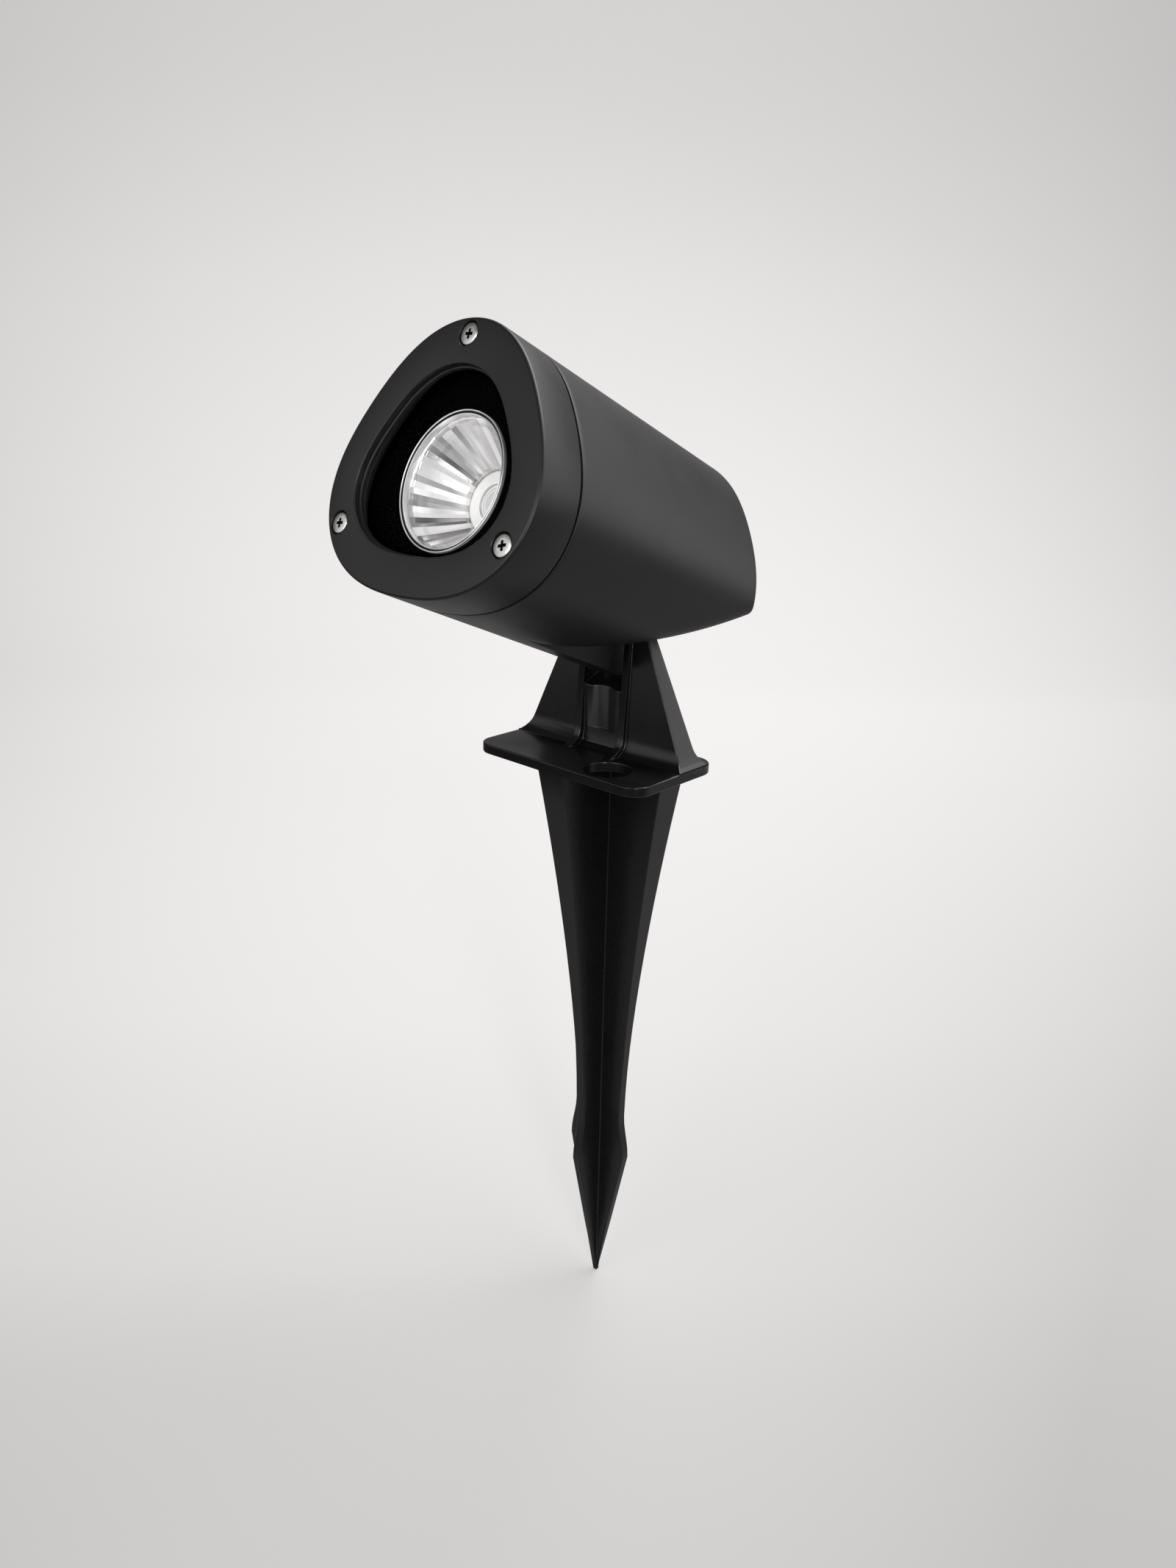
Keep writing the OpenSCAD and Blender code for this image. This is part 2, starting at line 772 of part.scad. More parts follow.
module gland_nut() {
    color("#1a1a1b")
        on_gland()
            difference() {
                union() {
                    hex_rod(gland_collar_r, head_len+gland_collar_t, head_len+gland_collar_t+0.6*gland_nut_len);
                    axis_rod(1.1*gland_r, head_len+gland_collar_t+0.6*gland_nut_len, head_len+gland_collar_t+gland_nut_len);
                }
                axis_rod(gland_r+shank_gap, 0, head_len+gland_collar_t+gland_neck_len);
                axis_rod(cable_r+2*fit, 0, head_len+reach);
            }
}
module gland_locknut() {
    color("#1a1a1b")
        on_gland()
            difference() {
                hex_rod(gland_collar_r, head_len-rear_wall-gland_locknut_t, head_len-rear_wall);
                axis_rod(gland_r+shank_gap, 0, head_len+reach);
            }
}

// Hinge hardware
module on_pivot() {
    translate([0, 0, pivot_z])
        children();
}
module pivot_bolt() {
    under = ear_out+washer_t;
    tail = under+nut_h+bolt_tail;
    color("silver")
        on_pivot() {
            translate([-tail, 0, 0])
                rotate([0, 90, 0])
                    cylinder(r = bolt_r, h = tail+under);
            translate([under, 0, 0])
                rotate([0, 90, 0])
                    cylinder(r = bolt_head_r, h = bolt_head_h, $fn = 6);
        }
}
module pivot_nut() {
    under = ear_out+washer_t;
    color("silver")
        on_pivot()
            translate([-under-nut_h, 0, 0])
                rotate([0, 90, 0])
                    difference() {
                        cylinder(r = bolt_head_r, h = nut_h, $fn = 6);
                        translate([0, 0, -over])
                            cylinder(r = bolt_r+shank_gap, h = nut_h+2*over);
                    }
}
module washer_pair(r, inner, thickness, at) {
    for (s = [-1, 1])
        on_pivot()
            difference() {
                x_rod(r, thickness/2, s*(at+thickness/2));
                x_rod(inner, thickness, s*(at+thickness/2));
            }
}
module pivot_washers() {
    color("silver")
        washer_pair(washer_r, bolt_r+shank_gap, washer_t, ear_out);
}
module friction_washers() {
    color("#3b3b3b")
        washer_pair(friction_r, bolt_r+shank_gap, friction_t, lug_w/2+lug_air);
}

// Stake
function spike_half(h, top) =
    h < bulge_h ? tip_half+(blade_bulge-tip_half)*h/bulge_h
    : h < waist_h ? blade_waist+(blade_bulge-blade_waist)*(1+cos(180*(h-bulge_h)/(waist_h-bulge_h)))/2
    : blade_waist+(top-blade_waist)*pow((h-waist_h)/(stake_len-waist_h), flare_power);
function spike_thick(h) =
    h < tip_full_h ? tip_t+(0.75*blade_t-tip_t)*h/tip_full_h
    : h < bulge_h ? 0.75*blade_t+0.25*blade_t*(h-tip_full_h)/(bulge_h-tip_full_h)
    : h < thick_from_h ? blade_t
    : blade_t+(blade_root_t-blade_t)*pow((h-thick_from_h)/(stake_len-thick_from_h), thick_power);
spike_levels = concat(
    [0, bulge_h],
    [for (i = [1:5]) bulge_h+(waist_h-bulge_h)*i/5],
    [for (i = [1:steps]) waist_h+(stake_len-waist_h)*i/steps]
);
thick_levels = concat(
    [0, tip_full_h, bulge_h, thick_from_h],
    [for (i = [1:steps]) thick_from_h+(stake_len-thick_from_h)*i/steps]
);
function profile(levels, left, right) =
    concat([for (h = levels) [-left[h], h]], [for (h = levels) [right[h], h]]);

// Upright slab with a drawn outline, seen from the side (YZ) or the front (XZ)
module side_slab(half) {
    rotate([90, 0, 90])
        linear_extrude(height = 2*half, center = true)
            children();
}
module front_slab(half) {
    rotate([90, 0, 0])
        linear_extrude(height = 2*half, center = true)
            children();
}
module blade_outline(left_top, right_top) {
    n = len(spike_levels);
    polygon(concat(
        [for (h = spike_levels) [-spike_half(h, left_top), h-stake_len]],
        [for (i = [n-1:-1:0]) [spike_half(spike_levels[i], right_top), spike_levels[i]-stake_len]]
    ));
}
module blade_section() {
    n = len(thick_levels);
    polygon(concat(
        [for (h = thick_levels) [-spike_thick(h)/2, h-stake_len]],
        [for (i = [n-1:-1:0]) [spike_thick(thick_levels[i])/2, thick_levels[i]-stake_len]]
    ));
}
module spike() {
    intersection() {
        side_slab(blade_root_t) blade_outline(plate_front, plate_back);
        front_slab(2*plate_front) blade_section();
    }
    intersection() {
        front_slab(blade_root_t) blade_outline(side_blade_top, side_blade_top);
        side_slab(2*side_blade_top) blade_section();
    }
}
module plate() {
    difference() {
        union() {
            for (x = [-1, 1]) {
                translate([x*(plate_w/2-plate_corner_r), -plate_front+plate_corner_r, 0])
                    cylinder(r = plate_corner_r, h = plate_t);
                translate([x*(plate_w/2-plate_corner_r), plate_back-plate_corner_r, 0])
                    cylinder(r = plate_corner_r, h = plate_t);
            }
            translate([-plate_w/2+plate_corner_r, -plate_front, 0])
                cube([plate_w-2*plate_corner_r, plate_front+plate_back, plate_t]);
            translate([-plate_w/2, -plate_front+plate_corner_r, 0])
                cube([plate_w, plate_front+plate_back-2*plate_corner_r, plate_t]);
        }
        translate([cable_hole_x, -cable_hole_y, -over])
            cylinder(r = cable_hole_r, h = plate_t+2*over);
    }
}
// Half width of a wall that leans in towards its top and flares into the plate
function wall_half(h, top_h, top, foot, flare) =
    h > foot_h ? foot+(top-foot)*(h-foot_h)/(top_h-foot_h)
    : foot+(foot-top)*(foot_h-h)/(top_h-foot_h)+flare*pow(1-h/foot_h, 3);
foot_levels = [for (i = [0:5]) foot_h*i/5];
module wall_outline(top_h, top, foot, left_flare, right_flare) {
    levels = concat(foot_levels, [top_h]);
    n = len(levels);
    translate([0, plate_t])
        polygon(concat(
            [for (h = levels) [-wall_half(h, top_h, top, foot, left_flare), h]],
            [for (i = [n-1:-1:0]) [wall_half(levels[i], top_h, top, foot, right_flare), levels[i]]]
        ));
}
module gussets() {
    difference() {
        intersection() {
            front_slab(plate_back)
                wall_outline(gusset_h, gusset_top_half, gusset_foot_half, gusset_side_flare, gusset_side_flare);
            side_slab(plate_w)
                wall_outline(gusset_h, gusset_top_t, gusset_foot_t, gusset_face_flare, gusset_face_flare);
        }
        translate([-ear_in, -plate_front, plate_t])
            cube([2*ear_in, 2*plate_front, pivot_h]);
    }
}
module ears() {
    for (s = [-1, 1])
        translate([s*(ear_in+ear_t/2), 0, 0])
            side_slab(ear_t/2) {
                wall_outline(ear_neck_h, ear_top_half, ear_foot_half, ear_front_flare, ear_back_flare);
                translate([0, pivot_z])
                    circle(r = ear_eye_r);
                polygon([
                    [-ear_top_half, plate_t+ear_neck_h],
                    [-0.93*ear_eye_r, pivot_z-0.36*ear_eye_r],
                    [0.93*ear_eye_r, pivot_z-0.36*ear_eye_r],
                    [ear_top_half, plate_t+ear_neck_h]
                ]);
            }
}
module web() {
    difference() {
        side_slab(ear_in)
            polygon([
                [-web_half-foot_h/2, plate_t],
                [-web_half-foot_h/8, plate_t+foot_h/4],
                [-web_half, plate_t+foot_h],
                [-web_half, plate_t+web_front_h],
                [web_half, plate_t+web_back_h],
                [web_half, plate_t]
            ]);
        translate([0, -web_half-web_hollow_r+web_hollow_depth, plate_t+foot_h])
            cylinder(r = web_hollow_r, h = pivot_h);
    }
}
module stake() {
    color("#202123")
        difference() {
            union() {
                spike();
                plate();
                gussets();
                ears();
                web();
            }
            on_pivot() x_rod(bolt_r+shank_gap, pocket_half);
        }
}

stake();
pivot_bolt();
pivot_nut();
pivot_washers();
friction_washers();
housing();
bezel();
ring_screws();
seam_seal();
glass();
glass_seal();
baffle();
reflector();
chip_holder();
holder_screws();
chip_board();
emitter();
thermal_pad();
heat_plate();
plate_screws();
driver_board();
board_standoffs();
board_screws();
transformer();
capacitor();
choke();
terminal_block();
chip_leads();
gland_body();
gland_seal();
gland_nut();
gland_locknut();
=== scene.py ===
import math

import bmesh
import bpy
from mathutils import Matrix, Vector


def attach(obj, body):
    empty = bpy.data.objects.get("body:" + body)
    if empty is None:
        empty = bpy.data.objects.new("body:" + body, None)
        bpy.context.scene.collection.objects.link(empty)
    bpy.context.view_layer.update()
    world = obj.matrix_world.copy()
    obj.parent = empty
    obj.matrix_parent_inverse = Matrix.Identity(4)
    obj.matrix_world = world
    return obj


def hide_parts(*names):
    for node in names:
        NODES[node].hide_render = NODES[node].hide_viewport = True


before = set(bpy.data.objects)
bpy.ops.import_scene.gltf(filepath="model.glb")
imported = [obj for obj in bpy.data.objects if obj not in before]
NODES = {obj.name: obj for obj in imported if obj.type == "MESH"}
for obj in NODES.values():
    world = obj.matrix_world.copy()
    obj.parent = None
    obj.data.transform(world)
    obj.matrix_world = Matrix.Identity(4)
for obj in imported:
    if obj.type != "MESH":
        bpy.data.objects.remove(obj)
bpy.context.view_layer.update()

bl_info = {
    "name": "Garden Spike Spotlight",
    "version": (1, 0, 0),
    "blender": (4, 5, 0),
    "location": "3D View > Sidebar > Spotlight",
    "description": "Dresses a tilting garden spotlight on its ground stake with its lamp and finishes",
    "category": "Add Mesh",
}

MM = 0.001

# The plate, the tilt axis over it, and how far the barrel leans back from straight up
PLATE = 3 * MM
PIVOT_HEIGHT = 44 * MM + PLATE
LEAN = math.radians(68)
# The tilt axis lies this far under the barrel's axis and behind its front face, in mm
PIVOT_DROP = 12
PIVOT_BACK = 77.3
# From the barrel's own frame, whose origin is the middle of its front face, to the row's frame
BARREL = (Matrix.Translation((0, 0, PIVOT_HEIGHT)) @ Matrix.Rotation(LEAN, 4, "X")
          @ Matrix.Translation((0, PIVOT_DROP * MM, PIVOT_BACK * MM)))


# Small helpers

def linear(code):
    """A linear colour with alpha from an sRGB hex value such as 2b2b2c."""
    parts = []
    for i in (0, 2, 4):
        c = int(code[i:i + 2], 16) / 255
        parts.append(c / 12.92 if c <= 0.04045 else ((c + 0.055) / 1.055) ** 2.4)
    return (*parts, 1.0)


def add_node(tree, kind, inputs=None, **settings):
    """Adds a node, sets its properties, and gives each named input a constant or a link from a socket."""
    node = tree.nodes.new(kind)
    for key, value in settings.items():
        setattr(node, key, value)
    for key, value in (inputs or {}).items():
        if isinstance(value, bpy.types.NodeSocket):
            tree.links.new(value, node.inputs[key])
        else:
            node.inputs[key].default_value = value
    return node


def new_object(name, mesh):
    """A new object in the scene that holds this mesh."""
    thing = bpy.data.objects.new(name, mesh)
    bpy.context.scene.collection.objects.link(thing)
    return thing


def mesh_from(name, shape, place=None):
    """A mesh from a bmesh in metres, put in place, with its doubles merged and its faces outwards."""
    bmesh.ops.remove_doubles(shape, verts=shape.verts, dist=1e-7)
    if place is not None:
        bmesh.ops.transform(shape, matrix=place, verts=shape.verts)
    bmesh.ops.recalc_face_normals(shape, faces=shape.faces)
    mesh = bpy.data.meshes.new(name)
    shape.to_mesh(mesh)
    shape.free()
    return mesh


def smooth(mesh, sharp_from):
    """Smooth faces, with an edge kept sharp from this angle in degrees."""
    mesh.shade_smooth()
    mesh.set_sharp_from_angle(angle=math.radians(sharp_from))


def whole_copy(node, name):
    """A copy of a node's shape as one closed mesh, its flat faces made whole, its curves smooth."""
    shape = bmesh.new()
    shape.from_mesh(NODES[node].data)
    bmesh.ops.remove_doubles(shape, verts=shape.verts, dist=2e-6)
    bmesh.ops.dissolve_limit(shape, angle_limit=math.radians(0.4), verts=shape.verts, edges=shape.edges)
    mesh = bpy.data.meshes.new(name)
    shape.to_mesh(mesh)
    shape.free()
    smooth(mesh, 28)
    return new_object(name, mesh)


def round_edges(thing, width):
    """Moulded edges are never knife sharp: a live bevel rounds those over 30 degrees."""
    bevel = thing.modifiers.new("Edges", "BEVEL")
    bevel.width = width
    bevel.segments = 3
    bevel.limit_method = "ANGLE"
    bevel.angle_limit = math.radians(30)
    bevel.harden_normals = True
    bevel.use_clamp_overlap = False


def finish(thing, material):
    """Gives an object one material in every slot that it has."""
    if not thing.material_slots:
        thing.data.materials.append(material)
    for place in thing.material_slots:
        place.material = material


def finish_nodes(material, *names):
    """Gives nodes that are carried over from the frame their material."""
    for name in names:
        finish(NODES[name], material)


def baked(thing, tree, inputs):
    """Runs a geometry node tree with named inputs on an object, and gives it the result as a plain mesh."""
    modifier = thing.modifiers.new("Build", "NODES")
    modifier.node_group = tree
    for item in tree.interface.items_tree:
        if item.item_type == "SOCKET" and item.in_out == "INPUT" and item.name in inputs:
            modifier[item.identifier] = inputs[item.name]
    bpy.context.view_layer.update()
    evaluated = thing.evaluated_get(bpy.context.evaluated_depsgraph_get())
    mesh = bpy.data.meshes.new_from_object(evaluated)
    thing.modifiers.remove(modifier)
    thing.data = mesh


def calc(tree, operation, a, b=0.0):
    """The result of a sum on one or two values, in a node tree."""
    return add_node(tree, "ShaderNodeMath", {0: a, 1: b}, operation=operation).outputs[0]


def ranged(tree, value, low, high, start=0.0, end=1.0):
    """Goes from low to high while the value goes from start to end, and no further."""
    return add_node(tree, "ShaderNodeMapRange", {
        "Value": value, "From Min": start, "From Max": end, "To Min": low, "To Max": high}).outputs["Result"]


def node_group(name, sockets):
    """A geometry node tree with geometry in and out and named inputs, each (name, socket type, default)."""
    tree = bpy.data.node_groups.new(name, "GeometryNodeTree")
    tree.interface.new_socket("Geometry", in_out="INPUT", socket_type="NodeSocketGeometry")
    for label, kind, default in sockets:
        item = tree.interface.new_socket(label, in_out="INPUT", socket_type=kind)
        if default is not None:
            item.default_value = default
    tree.interface.new_socket("Geometry", in_out="OUTPUT", socket_type="NodeSocketGeometry")
    return tree, add_node(tree, "NodeGroupInput").outputs


# Sizes and colours that a user would change

class SpotSizes(bpy.types.PropertyGroup):
    edge: bpy.props.FloatProperty(
        name="Cast edge", description="Rounding of the barrel's and the front ring's edges",
        default=0.8 * MM, min=0.3 * MM, max=1.2 * MM, precision=5, subtype="DISTANCE", unit="LENGTH")
    moulded_edge: bpy.props.FloatProperty(
        name="Moulded edge", description="Rounding of the stake's edges",
        default=0.4 * MM, min=0.05 * MM, max=1.0 * MM, precision=5, subtype="DISTANCE", unit="LENGTH")
    flutes: bpy.props.IntProperty(
        name="Flutes", description="Flutes round the reflector", default=30, min=12, max=60)
    flute_depth: bpy.props.FloatProperty(
        name="Flute depth", description="How far a flute's middle lies behind its ridges, at the rim",
        default=0.3 * MM, min=0.0, max=1.0 * MM, precision=5, subtype="DISTANCE", unit="LENGTH")
    head_radius: bpy.props.FloatProperty(
        name="Screw head", description="Radius of the front ring's screw heads",
        default=2.8 * MM, min=2.0 * MM, max=2.9 * MM, precision=5, subtype="DISTANCE", unit="LENGTH")


class SpotFinishes(bpy.types.PropertyGroup):
    coat: bpy.props.FloatVectorProperty(
        name="Powder coat", description="Colour of the barrel and the front ring",
        default=linear("121213"), size=4, min=0, max=1, subtype="COLOR")
    stake: bpy.props.FloatVectorProperty(
        name="Stake", description="Colour of the moulded stake",
        default=linear("0b0b0c"), size=4, min=0, max=1, subtype="COLOR")
    metal: bpy.props.FloatVectorProperty(
        name="Screws", description="Colour of the stainless fasteners",
        default=linear("dcdbd8"), size=4, min=0, max=1, subtype="COLOR")
    mirror: bpy.props.FloatVectorProperty(
        name="Reflector", description="Colour of the bright optic",
        default=linear("f3f2f2"), size=4, min=0, max=1, subtype="COLOR")


class StageSettings(bpy.types.PropertyGroup):
    azimuth: bpy.props.FloatProperty(
        name="Azimuth", description="Where the camera stands round the light",
        default=math.radians(41.99), subtype="ANGLE", unit="ROTATION")
    elevation: bpy.props.FloatProperty(
        name="Elevation", description="How far the camera looks down",
        default=math.radians(19.18), subtype="ANGLE", unit="ROTATION")
    roll: bpy.props.FloatProperty(
        name="Roll", description="Turn of the camera about its view",
        default=math.radians(1.13), subtype="ANGLE", unit="ROTATION")
    distance: bpy.props.FloatProperty(
        name="Distance", description="From the camera to what it looks at",
        default=340.77 * MM, subtype="DISTANCE", unit="LENGTH")
    floor: bpy.props.FloatVectorProperty(
        name="Floor", description="Colour of the floor and the backdrop",
        default=linear("e6e3e3"), size=4, min=0, max=1, subtype="COLOR")


# Materials

def new_material(name):
    """An empty node material, and the object's own coordinates."""
    material = bpy.data.materials.new(name)
    material.use_nodes = True
    tree = material.node_tree
    tree.nodes.clear()
    place = add_node(tree, "ShaderNodeTexCoord")
    return material, tree, place.outputs["Object"]


def close(tree, shader):
    """Links the finished shader to the material's output."""
    add_node(tree, "ShaderNodeOutputMaterial", {"Surface": shader})


def clouds(tree, place, size, detail=2.0, roughness=0.5):
    """A noise whose patches are this many millimetres wide."""
    return add_node(tree, "ShaderNodeTexNoise", {
        "Vector": place, "Scale": 1.0 / (size * MM), "Detail": detail, "Roughness": roughness}).outputs["Fac"]


def blend(tree, share, first, second, blend_type="MIX"):
    """A colour between the first and the second."""
    return add_node(tree, "ShaderNodeMixRGB", {
        "Fac": share, "Color1": first, "Color2": second}, blend_type=blend_type).outputs["Color"]


def shaded(colour, factor):
    """A colour made lighter or darker by a factor."""
    return (*[min(1.0, c * factor) for c in colour[:3]], 1.0)


def grained(name, colour, patch, patch_change, grain, grain_depth, rough, metallic=0.0, specular=0.5):
    """A coated, cast or moulded surface, its colour and gloss in cloudy patches, with a fine grain."""
    material, tree, place = new_material(name)
    cloud = clouds(tree, place, patch, 4.0, 0.6)
    tint = blend(tree, cloud, shaded(colour, 1 - patch_change), shaded(colour, 1 + patch_change))
    bump = add_node(tree, "ShaderNodeBump", {
        "Height": clouds(tree, place, grain), "Strength": 1.0, "Distance": grain_depth * MM})
    body = add_node(tree, "ShaderNodeBsdfPrincipled", {
        "Base Color": tint, "Roughness": ranged(tree, cloud, rough[0], rough[1], 0.3, 0.7),
        "Normal": bump.outputs["Normal"], "Metallic": metallic, "Specular IOR Level": specular})
    close(tree, body.outputs["BSDF"])
    return material


def powder_coat(colour):
    """Polyester powder coat on a die casting: satin black, with the faint texture of the melted powder."""
    return grained("powder_coated_die_casting", colour, patch=14.0, patch_change=0.05, grain=0.45,
                   grain_depth=0.006, rough=(0.38, 0.44), specular=0.45)


def moulded_nylon(colour):
    """Glass-filled nylon from a polished mould: deep black, glossier than the coat, with a faint grain."""
    return grained("moulded_nylon", colour, patch=10.0, patch_change=0.08, grain=0.35,
                   grain_depth=0.0015, rough=(0.25, 0.3), specular=0.45)


def stainless_steel(colour):
    """Cold-formed stainless: bright grey with a satin tumbled finish."""
    return grained("tumbled_stainless_steel", colour, patch=1.5, patch_change=0.06, grain=0.12,
                   grain_depth=0.006, rough=(0.3, 0.42), metallic=1.0)


def bright_aluminium(colour):
    """Vacuum-metallised reflector under satin lacquer, with painted reflections: each flute and facet is
    painted lighter or darker.
    """
    material, tree, place = new_material("metallised_reflector")
    marks = add_node(tree, "ShaderNodeAttribute", attribute_name="flute")
    axes = add_node(tree, "ShaderNodeSeparateXYZ", {0: marks.outputs["Vector"]})
    flute = add_node(tree, "ShaderNodeTexWhiteNoise", {"W": axes.outputs["X"]}, noise_dimensions="1D")
    facet = add_node(tree, "ShaderNodeTexWhiteNoise", {"Vector": marks.outputs["Vector"]},
                     noise_dimensions="3D")
    # Painted reflection: each flute has its light or dark tone, and towards the rim so has each facet
    outer = ranged(tree, axes.outputs["Z"], 0.0, 0.35, 0.55, 0.95)
    painted_reflection_tone = blend(tree, outer, flute.outputs["Value"], facet.outputs["Value"])
    # The lighter flutes are also less metallic and scatter more of the light, which adds to the painted bands
    body = add_node(tree, "ShaderNodeBsdfPrincipled", {
        "Base Color": blend(tree, painted_reflection_tone, shaded(colour, 0.42), colour),
        "Roughness": ranged(tree, clouds(tree, place, 3.0, 3.0), 0.1, 0.2),
        "Metallic": ranged(tree, painted_reflection_tone, 0.9, 0.32)})
    close(tree, body.outputs["BSDF"])
    return material


def phosphor():
    """Silicone over the chip's phosphor: pale grey and softly glossy, in a white dam with a faint ring."""
    material, tree, place = new_material("phosphor_silicone")
    axis = tuple(OPTIC.inverted().row[2].xyz)
    aside = add_node(tree, "ShaderNodeVectorMath", {0: place, 1: tuple(OPTIC.translation)},
                     operation="SUBTRACT")
    across = add_node(tree, "ShaderNodeVectorMath", {0: aside.outputs[0], 1: axis}, operation="CROSS_PRODUCT")
    out = add_node(tree, "ShaderNodeVectorMath", {0: across.outputs[0]}, operation="LENGTH")
    share = calc(tree, "DIVIDE", out.outputs["Value"], EMITTER_R * MM)
    ramp = add_node(tree, "ShaderNodeValToRGB", {"Fac": share})
    stops = ramp.color_ramp.elements
    stops[0].color = linear("c2c1c0")
    stops[1].color = linear("efeeee")
    for where, code in ((0.6, "c2c1c0"), (0.64, "a9a8a8"), (0.68, "d2d1d1"),
                        (0.86, "cfcece"), (0.9, "9d9c9c"), (0.93, "efeeee")):
        stops.new(where).color = linear(code)
    body = add_node(tree, "ShaderNodeBsdfPrincipled", {
        "Base Color": ramp.outputs["Color"], "Roughness": ranged(tree, clouds(tree, place, 1.5), 0.25, 0.4)})
    close(tree, body.outputs["BSDF"])
    return material


def clear_glass():
    """Tempered glass with an anti-reflection coating: clear and hardly seen, so its IOR is set low.

    Its shadow lets light by.
    """
    material, tree, place = new_material("tempered_glass")
    body = add_node(tree, "ShaderNodeBsdfPrincipled", {
        "Base Color": linear("fcfcfc"), "Roughness": ranged(tree, clouds(tree, place, 9.0), 0.0, 0.02),
        "IOR": 1.03, "Transmission Weight": 1.0})
    open_way = add_node(tree, "ShaderNodeBsdfTransparent", {"Color": linear("f8f8f8")})
    path = add_node(tree, "ShaderNodeLightPath")
    mixed = add_node(tree, "ShaderNodeMixShader", {
        0: path.outputs["Is Shadow Ray"], 1: body.outputs["BSDF"], 2: open_way.outputs["BSDF"]})
    close(tree, mixed.outputs["Shader"])
    return material


# How bright the paper's painted light is, by metres along the sweep behind the object
PAPER_GLOW = [(-0.35, 0.35), (-0.25, 0.45), (-0.2, 0.51), (-0.03, 0.66), (0.34, 0.79), (0.62, 0.90),
              (1.08, 0.94), (1.56, 0.92), (1.98, 0.88), (2.28, 0.80), (2.5, 0.75)]
# Where that light starts, in front of the object, and how far the shader counts from there
GLOW_START = -0.35
GLOW_LENGTH = 3.2


def floor_paper(colour, turn):
    """Seamless background paper, matt and pale, with painted light of its own, brightest behind the object.
    """
    material, tree, place = new_material("seamless_paper")
    tint = blend(tree, clouds(tree, place, 60.0, 3.0), shaded(colour, 0.985), colour)
    faced = add_node(tree, "ShaderNodeMapping", {"Vector": place, "Rotation": (0, 0, -turn)})
    axes = add_node(tree, "ShaderNodeSeparateXYZ", {0: faced.outputs[0]})

    # How far along the sweep, from just in front of the object to the top of the wall
    reach = calc(tree, "ADD", calc(tree, "ADD", axes.outputs["Y"], axes.outputs["Z"]), -GLOW_START)
    along = calc(tree, "MULTIPLY", reach, 1 / GLOW_LENGTH)
    ramp = add_node(tree, "ShaderNodeValToRGB", {"Fac": along})
    ramp.color_ramp.interpolation = "B_SPLINE"
    stops = ramp.color_ramp.elements
    for metres, level in PAPER_GLOW[1:-1]:
        stops.new((metres - GLOW_START) / GLOW_LENGTH).color = (level, level, level, 1)
    for stop, (metres, level) in ((stops[0], PAPER_GLOW[0]), (stops[-1], PAPER_GLOW[-1])):
        stop.position = (metres - GLOW_START) / GLOW_LENGTH
        stop.color = (level, level, level, 1)
    glow = blend(tree, 1.0, tint, ramp.outputs["Color"], "MULTIPLY")

    # The painted light falls off to both sides, in the wedge that the camera sees, and leans to the left on
    # the floor
    wedge = calc(tree, "MAXIMUM", calc(tree, "ADD", axes.outputs["Y"], 0.34), 0.22)
    side = calc(tree, "DIVIDE", axes.outputs["X"], wedge)
    lean = calc(tree, "MULTIPLY", side, ranged(tree, along, 0.4, 0.05, 0.0, 0.3))
    square = calc(tree, "MULTIPLY", calc(tree, "MULTIPLY", side, side), 0.66)
    fall = calc(tree, "SUBTRACT", 1.0, calc(tree, "ADD", square, lean))
    # Seen from behind, the floor past the picture's edge is as pale as the rest
    beyond = ranged(tree, along, 0.9, 0.0, -0.3, -0.04)
    strength = calc(tree, "ADD", calc(tree, "MAXIMUM", fall, 0.6), beyond)

    path = add_node(tree, "ShaderNodeLightPath")
    mirrored = path.outputs["Is Glossy Ray"]
    # Outside the picture, in front and on the left, the paper is painted dark for reflections only: painted
    # shade, so that the coat mirrors it and stays black
    near = ranged(tree, along, 1.0, 0.0, -0.08, 0.0)
    left = ranged(tree, axes.outputs["X"], 1.0, 0.0, -0.5, -0.25)
    dark = calc(tree, "MULTIPLY", calc(tree, "MAXIMUM", near, left), mirrored)
    # Metal and coat show the paper at less than its full light, and its wall more than its floor: painted
    # shade in their reflections
    shown = calc(tree, "MULTIPLY", mirrored, ranged(tree, along, 0.12, 0.34, 0.2, 0.4))
    seen = calc(tree, "MAXIMUM", path.outputs["Is Camera Ray"], path.outputs["Is Transmission Ray"])
    seen = calc(tree, "MAXIMUM", seen, shown)

    body = add_node(tree, "ShaderNodeBsdfDiffuse", {
        "Color": blend(tree, dark, linear("8f8d8d"), linear("282828"))})
    # Painted light: an emission that the camera, the glass and reflections see
    lamp = add_node(tree, "ShaderNodeEmission", {"Color": glow, "Strength": strength})
    both = add_node(tree, "ShaderNodeAddShader", {0: body.outputs["BSDF"], 1: lamp.outputs["Emission"]})
    mixed = add_node(tree, "ShaderNodeMixShader", {
        0: seen, 1: body.outputs["BSDF"], 2: both.outputs["Shader"]})
    close(tree, mixed.outputs["Shader"])
    return material


# The die-cast barrel and its front ring. Lengths from here on are in millimetres in the barrel's own frame,
# whose z points forwards, so a depth counts backwards from the front face

BARREL_MM = BARREL @ Matrix.Scale(MM, 4)
PIVOT_IN_BARREL = Matrix.Translation((0, -PIVOT_DROP, -PIVOT_BACK)) @ Matrix.Rotation(-LEAN, 4, "X")
ALONG_X = Matrix.Rotation(math.pi / 2, 4, "Y")
# The reflector and the lamp chip sit this far under the barrel's axis, and the chip's disc has this radius
OPTIC_DROP = 1.2
OPTIC = BARREL @ Matrix.Translation((0, -OPTIC_DROP * MM, 0))
EMITTER_R = 4.5

# The section: its mean radius, the swell of its three lobes and how much wider than tall it is
HEAD_R = 34.32
HEAD_SWELL = 2.25
HEAD_WIDE = 1.07
HEAD_LEN = 93.4
WALL = 3.0
REAR_WALL = 3.5
